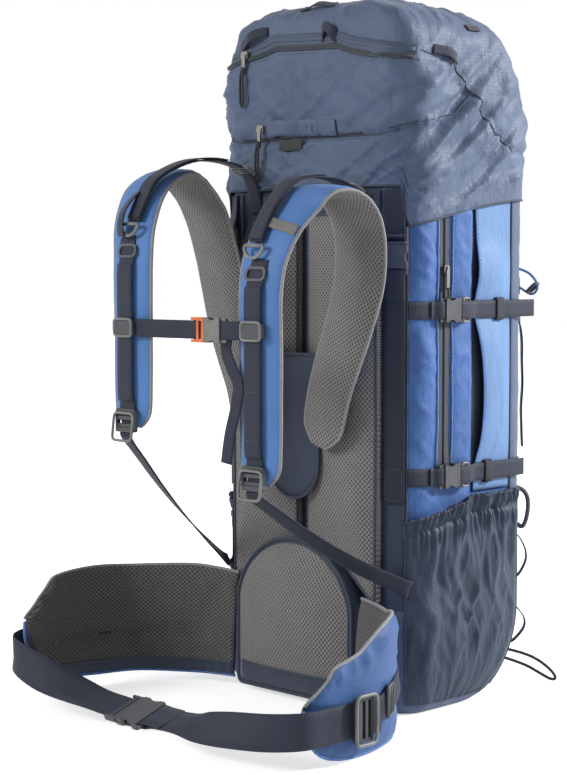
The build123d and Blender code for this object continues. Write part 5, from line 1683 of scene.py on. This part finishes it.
def sternum_webbing():
    """The two halves of the sternum strap, their clips' frames and the loose tail."""
    left, right = (Vector((strap["side"] * STRAP_X, strap["front"] - 7 - 1.1 - 3.2, 436.0))
                   for strap in STRAPS.values())
    line = (right - left).normalized()
    out = Vector((-line.y, line.x, 0))
    mouth = (left + right) / 2 + line * -28.0
    reach = (left - right).length / 2 - 12.5 - 3.0 - 1.5
    fold = fold_at(20.0)
    end = -reach + 28.0
    path = [(end, -1.6), (fold - 16, -2.4), (fold - 6, -3)] + bar_turn(fold)
    path += [(fold - 6, 2.8), (fold - 16, 2.2), (end, 1.2)]
    flat_ribbon("sternum_strap_left", edge_path(mouth, line, out, path), UP, 20.0, "sternum",
                replaces=("sternum_webbing_left",), wave=0)
    path = edge_path(mouth, line, out, [(5.6, 0), (18, 0), (34, -0.5), (54, 0.3), (reach + 28.0, 0)])
    webbing = flat_ribbon("sternum_strap_right", path, UP, 20.0, None,
                          replaces=("sternum_webbing_right",), wave=0)
    bending(webbing, "sternum", "sternum_release", path[3], path[1])
    for name, anchor in (("left", left), ("right", right)):
        frame_ring(f"sternum_clip_frame_{name}", anchor + out * 3.4, (1, 0, 0), UP, (29.0, 19.0), 1.7,
                   "sternum")
    tail = [(2.0, -2.6, 4), (1.0, -4.5, -8), (4.0, -6.5, -22), (-4.0, -6.5, -40), (-14.0, -5.5, -58),
            (-10.0, -5.5, -84), (-2.0, -5.5, -112), (3.0, -5.5, -143)]
    centre = left + line * 38.0
    points = [centre + line * a + out * b + Vector((0, 0, c)) for a, b, c in tail]
    flat_ribbon("sternum_tail", points, (line.x, line.y, 0.12), 15.0, "sternum", wave=0.4)


def waist_webbing():
    """The belt's webbing: from each wing's lock, turning as it goes, to the buckle between them."""
    tilt = math.radians(WAIST_TILT)
    mouth = Vector((-30.0, -362.0, 22.0))
    arm = Vector((mouth.x + (0.85 * 38 + 5) / 2, mouth.y - (BACK - 3.0), 0))
    pull = Vector((arm.y, -arm.x, 0)).normalized()
    out = arm.normalized() * math.cos(tilt) + Vector((0, 0, math.sin(tilt)))
    fold = fold_at(38.0)
    face_x = 221 + WING_T / 2 + 0.7 + 0.8
    flat = pull.cross(out)

    def turn_to(share):
        return Vector((0, math.sin(tilt * share), math.cos(tilt * share)))

    def turned(rows):
        return [(place, turn_to(share)) for place, share in rows]

    flat = flat * (1 if flat.dot(turn_to(1)) > 0 else -1)

    def on(points):
        return [(p, flat) for p in edge_path(mouth, pull, out, points)]

    rows = turned([
        ((face_x, -246, 44), 0), ((face_x, -290, 44), 0), ((face_x, -322, 44), 0),
        ((face_x - 4, -356, 44), 0.05), ((192, -374, 40), 0.15), ((140, -376, 34), 0.35),
        ((100, -373, 29), 0.6), ((70, -370, 26.5), 0.95),
    ])
    rows += on([(fold - 24, 1.2), (fold - 6, -3)] + bar_turn(fold) + [(fold - 8, 3.2), (fold - 34, 3.6)])
    ribbon("waist_strap_left", rows, 38.0, "hip_left", replaces=("waist_webbing_left",))
    rows = on([(5.6, 0), (14, 0), (24, 0)]) + turned([
        ((-84, -364, 25), 1.0), ((-112, -367, 29.5), 0.85), ((-168, -380, 44), 0.4),
        ((4 - face_x, -372, 59), 0), ((-face_x, -322, 66), 0), ((-face_x, -290, 67), 0),
        ((-face_x, -250, 68), 0),
    ])
    ribbon("waist_strap_right", rows, 38.0, "hip_right", replaces=("waist_webbing_right",))


def hip_details():
    """Pale frames at the waist ladder locks and the webbing that runs back from them over the wing."""
    for name, side in SIDES:
        low, high = box_mm(f"waist_ladder_lock_{name}")
        middle = (low + high) / 2
        face_x = (high.x if side > 0 else low.x) + side * 0.6
        size = (high.y - low.y + 5.0, high.z - low.z + 5.0)
        body = f"hip_{name}"
        frame_ring(f"waist_lock_frame_{name}", (face_x, middle.y, middle.z), (0, 1, 0), UP, size, 2.0, body)
        on_wing = on_piece(WINGS[name][0])
        rows = []
        for x, y, rise, nx, ny in (
            (221, -254, 1, 1.0, 0.0), (220, -243, 4, 0.99, 0.12), (214, -226, 9, 0.97, 0.22),
            (205, -206, 15, 0.92, 0.4), (188, -186, 21, 0.75, 0.66), (166, -166, 26, 0.6, 0.8),
        ):
            spot = on_wing((side * x, y, middle.z + rise), (side * nx, ny, 0.0), 3.2)
            rows.append((spot, (side * ny * 0.1, -0.3 * nx, 1.0)))
        ribbon(f"hip_stabiliser_{name}", rows, 25.0, body, wave=0.0)
        spot = rows[2][0] + Vector((side * 1.8, 0.3, 0.0))
        along = (rows[3][0] - rows[1][0]).normalized()
        frame_ring(f"hip_stabiliser_lock_{name}", spot, along, UP, (15.0, 32.0), 1.9, body, M_BUCKLE)
        bars = cross_bars(spot, along, Vector((0, 0, 15.0)), 2.6)
        rods(f"hip_stabiliser_bars_{name}", bars, 1.5, body, M_BUCKLE)


def webbing_frames():
    """Pale wire frames at the compression buckles, where the webbing turns back."""
    for name, side in SIDES:
        for height, z in zip(("upper", "lower"), STRAP_LEVELS):
            tag = f"{name}_{height}"
            frame_ring(f"compression_frame_{tag}", (side * 159.6, -24.5, z), (0, 1, 0), UP, (11.0, 26.5),
                       1.3, f"compression_{tag}")


def front_trim():
    """Cords, tails and loops at the pack's front corners."""
    for name, side in SIDES:
        def mirrored(*points):
            return [(side * x, y, z) for x, y, z in points]

        elastic = mirrored((122, 112, 502), (132, 121, 499), (143, 126, 488), (146, 127, 477), (139, 125, 469),
                           (130, 122, 474), (122, 114, 482))
        free_cord(f"front_elastic_{name}", elastic, 1.5, "root", M_BLUE_EDGE)
        frame_ring(f"front_elastic_lock_{name}", (side * 139.0, 125.0, 478.0), (0.7 * side, 0.2, 0.7),
                   (0, 1, 0), (15.0, 8.0), 2.2, "root", M_BUCKLE, 0.6)
        tail = mirrored((86, 127, 500), (98, 128, 478), (114, 124, 452), (126, 120, 425), (129, 119, 380),
                        (128, 119, 330), (129, 120, 288))
        rows = []
        for k, point in enumerate(tail):
            turn = min(1.0, k / 3.0)
            rows.append((point, (side * (1 - 1.7 * turn), 0.1 + 0.65 * turn, 0.25 * (1 - turn))))
        ribbon(f"front_tail_{name}", rows, 19.0, "root", wave=0.8)
        hook = mirrored((122, 108, 240), (131, 117, 238), (137, 122, 228), (137, 123, 212), (134, 122, 196),
                        (129, 120, 188), (125, 117, 194))
        rods(f"front_hook_{name}", [smooth_line(hook)], 2.8, "root", M_BUCKLE)
        for place, points in (
            ("upper", mirrored((126, 107, 184), (130, 114, 179), (135, 120, 164), (135, 121, 150),
                               (130, 115, 134), (125, 107, 128))),
            ("lower", mirrored((122, 106, 98), (129, 112, 93), (135, 119, 80), (135, 118, 68),
                               (128, 108, 54), (121, 101, 50))),
        ):
            flat_ribbon(f"front_loop_{place}_{name}", points, (side * -0.7, 0.7, 0.0), 11.0, "root",
                        thick=1.5)
        cord = mirrored((118, 97, 44), (132, 110, 40), (150, 122, 33), (168, 127, 22), (179, 127, 12),
                        (174, 124, 9), (158, 120, 16), (140, 112, 26), (120, 94, 34))
        free_cord(f"front_cord_loop_{name}", cord, 1.8, "root", M_TAG)
    points = [on_lid((110.0, y, 745.0), (0.72, 0.0, 0.69), 1.2) for y in steps(-4.0, 18.0, 5.0)]
    flat_ribbon("lid_side_tag", points, (-0.69, 0, 0.72), 9.0, "lid", mat=M_TAG, thick=1.4, per=3, wave=0.0)


straps_round_corners()
lid_straps()
small_loops()
shoulder_webbing()
lower_webbing()
sternum_webbing()
waist_webbing()
strap_details()
front_trim()
webbing_frames()
hip_details()
for webbing_piece, body_a, body_b, start_at, end_at in BENDING:
    [v * MM for v in start_at]
    [v * MM for v in end_at]
    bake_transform(webbing_piece)


# ------------------------------------------------------------------ stage
LENS = 84.54
EYE = (1.4683, -1.6252, 0.509)
LOOK_DOWN = math.radians(3.95)
FLOOR_REACH = 9.0
FLOOR_Z = -0.0006


def aim(obj, direction):
    """Turn a camera or lamp to look along a direction."""
    obj.rotation_euler = direction.to_track_quat("-Z", "Y").to_euler()


def camera_and_light():
    """The camera at the photo's angle, three soft lamps and a white surround."""
    scene = bpy.context.scene
    camera_data = bpy.data.cameras.new("camera")
    camera_data.sensor_width = 36.0
    camera_data.lens = LENS
    camera = bpy.data.objects.new("camera", camera_data)
    scene.collection.objects.link(camera)
    camera.location = EYE
    look = Vector((-math.sqrt(0.5), math.sqrt(0.5), 0.0)) * math.cos(LOOK_DOWN)
    look.z = -math.sin(LOOK_DOWN)
    aim(camera, look)
    scene.camera = camera
    for name, place, target, size, power in (
        ("key", (1.75, 2.0, 1.7), (0.0, -0.05, 0.45), 0.6, 112.0),
        ("fill", (-1.1, -2.6, 1.6), (0.0, 0.0, 0.35), 1.1, 42.0),
        ("front", (1.9, -2.2, 1.9), (0.0, 0.0, 0.4), 1.8, 4.0),
    ):
        lamp = bpy.data.lights.new(name, "AREA")
        lamp.shape = "DISK"
        lamp.size = size
        lamp.energy = power
        holder = bpy.data.objects.new(name, lamp)
        scene.collection.objects.link(holder)
        holder.location = place
        aim(holder, Vector(target) - Vector(place))
    world = bpy.data.worlds.new("studio")
    scene.world = world
    n = Nodes(world)
    soft, white = (n.run("ShaderNodeBackground", ((1, 1, 1, 1), power)) for power in (0.24, 1.0))
    through = n.new("ShaderNodeLightPath").outputs["Is Transmission Ray"]
    seen = n.math("MAXIMUM", n.seen_directly(), through)
    n.put(n.new("ShaderNodeOutputWorld").inputs[0], n.mix_shaders(seen, soft, white))


def floor():
    """Pale paper with a glow seen only by the camera: painted light that rises to white away from the pack and
    stays weaker near it, as painted shade round the pack.
    """
    mesh = bpy.data.meshes.new("floor")
    corners = [(x * FLOOR_REACH, y * FLOOR_REACH, FLOOR_Z) for x, y in ((-1, -1), (1, -1), (1, 1), (-1, 1))]
    mesh.from_pydata(corners, [], [(0, 1, 2, 3)])
    obj = bpy.data.objects.new("floor", mesh)
    bpy.context.scene.collection.objects.link(obj)
    n = Surface("floor_paper")
    mesh.materials.append(n.finish((0.86, 0.86, 0.86, 1), 0.9))
    place = n.new("ShaderNodeNewGeometry").outputs["Position"]
    away = n.run("ShaderNodeVectorMath", (place,), "Value", operation="LENGTH")
    # painted light: the camera-only glow grows with distance from the pack, leaving painted shade on the floor
    # near it
    glow = n.run("ShaderNodeEmission", ((1, 1, 1, 1), n.span(away, 0.4, 1.9, 0.62, 1.0)))
    dark = n.run("ShaderNodeEmission", ((1, 1, 1, 1), 0.0))
    glow = n.mix_shaders(n.seen_directly(), dark, glow)
    n.put(n.out, n.run("ShaderNodeAddShader", (n.bsdf.outputs[0], glow)))


camera_and_light()
floor()

bpy.context.scene.view_settings.view_transform = "Standard"

NODE_LOOKS = {
    "buckle_plastic": M_BUCKLE,
    "whistle_plastic": M_ORANGE,
    "frame_plastic": M_SHEET,
    "stay_metal": M_STAY,
    "zip_metal": M_STEEL,
    "zip_tape": M_ZIP,
    "webbing": M_WEB,
    "navy_ripstop": M_NAVY,
    "blue_ripstop": M_BLUE,
    "spacer_mesh": M_MESH,
}
for part in frame["record"]["subparts"]:
    obj = bpy.data.objects.get(part["node"])
    obj.data.materials.clear()
    look = NODE_LOOKS[part["material_slot"]]
    look = {"sternum_socket": M_SOCKET, "sternum_plug": M_ORANGE}.get(part["node"], look)
    obj.data.materials.append(M_PLUG if part["node"].startswith("compression_plug") else look)
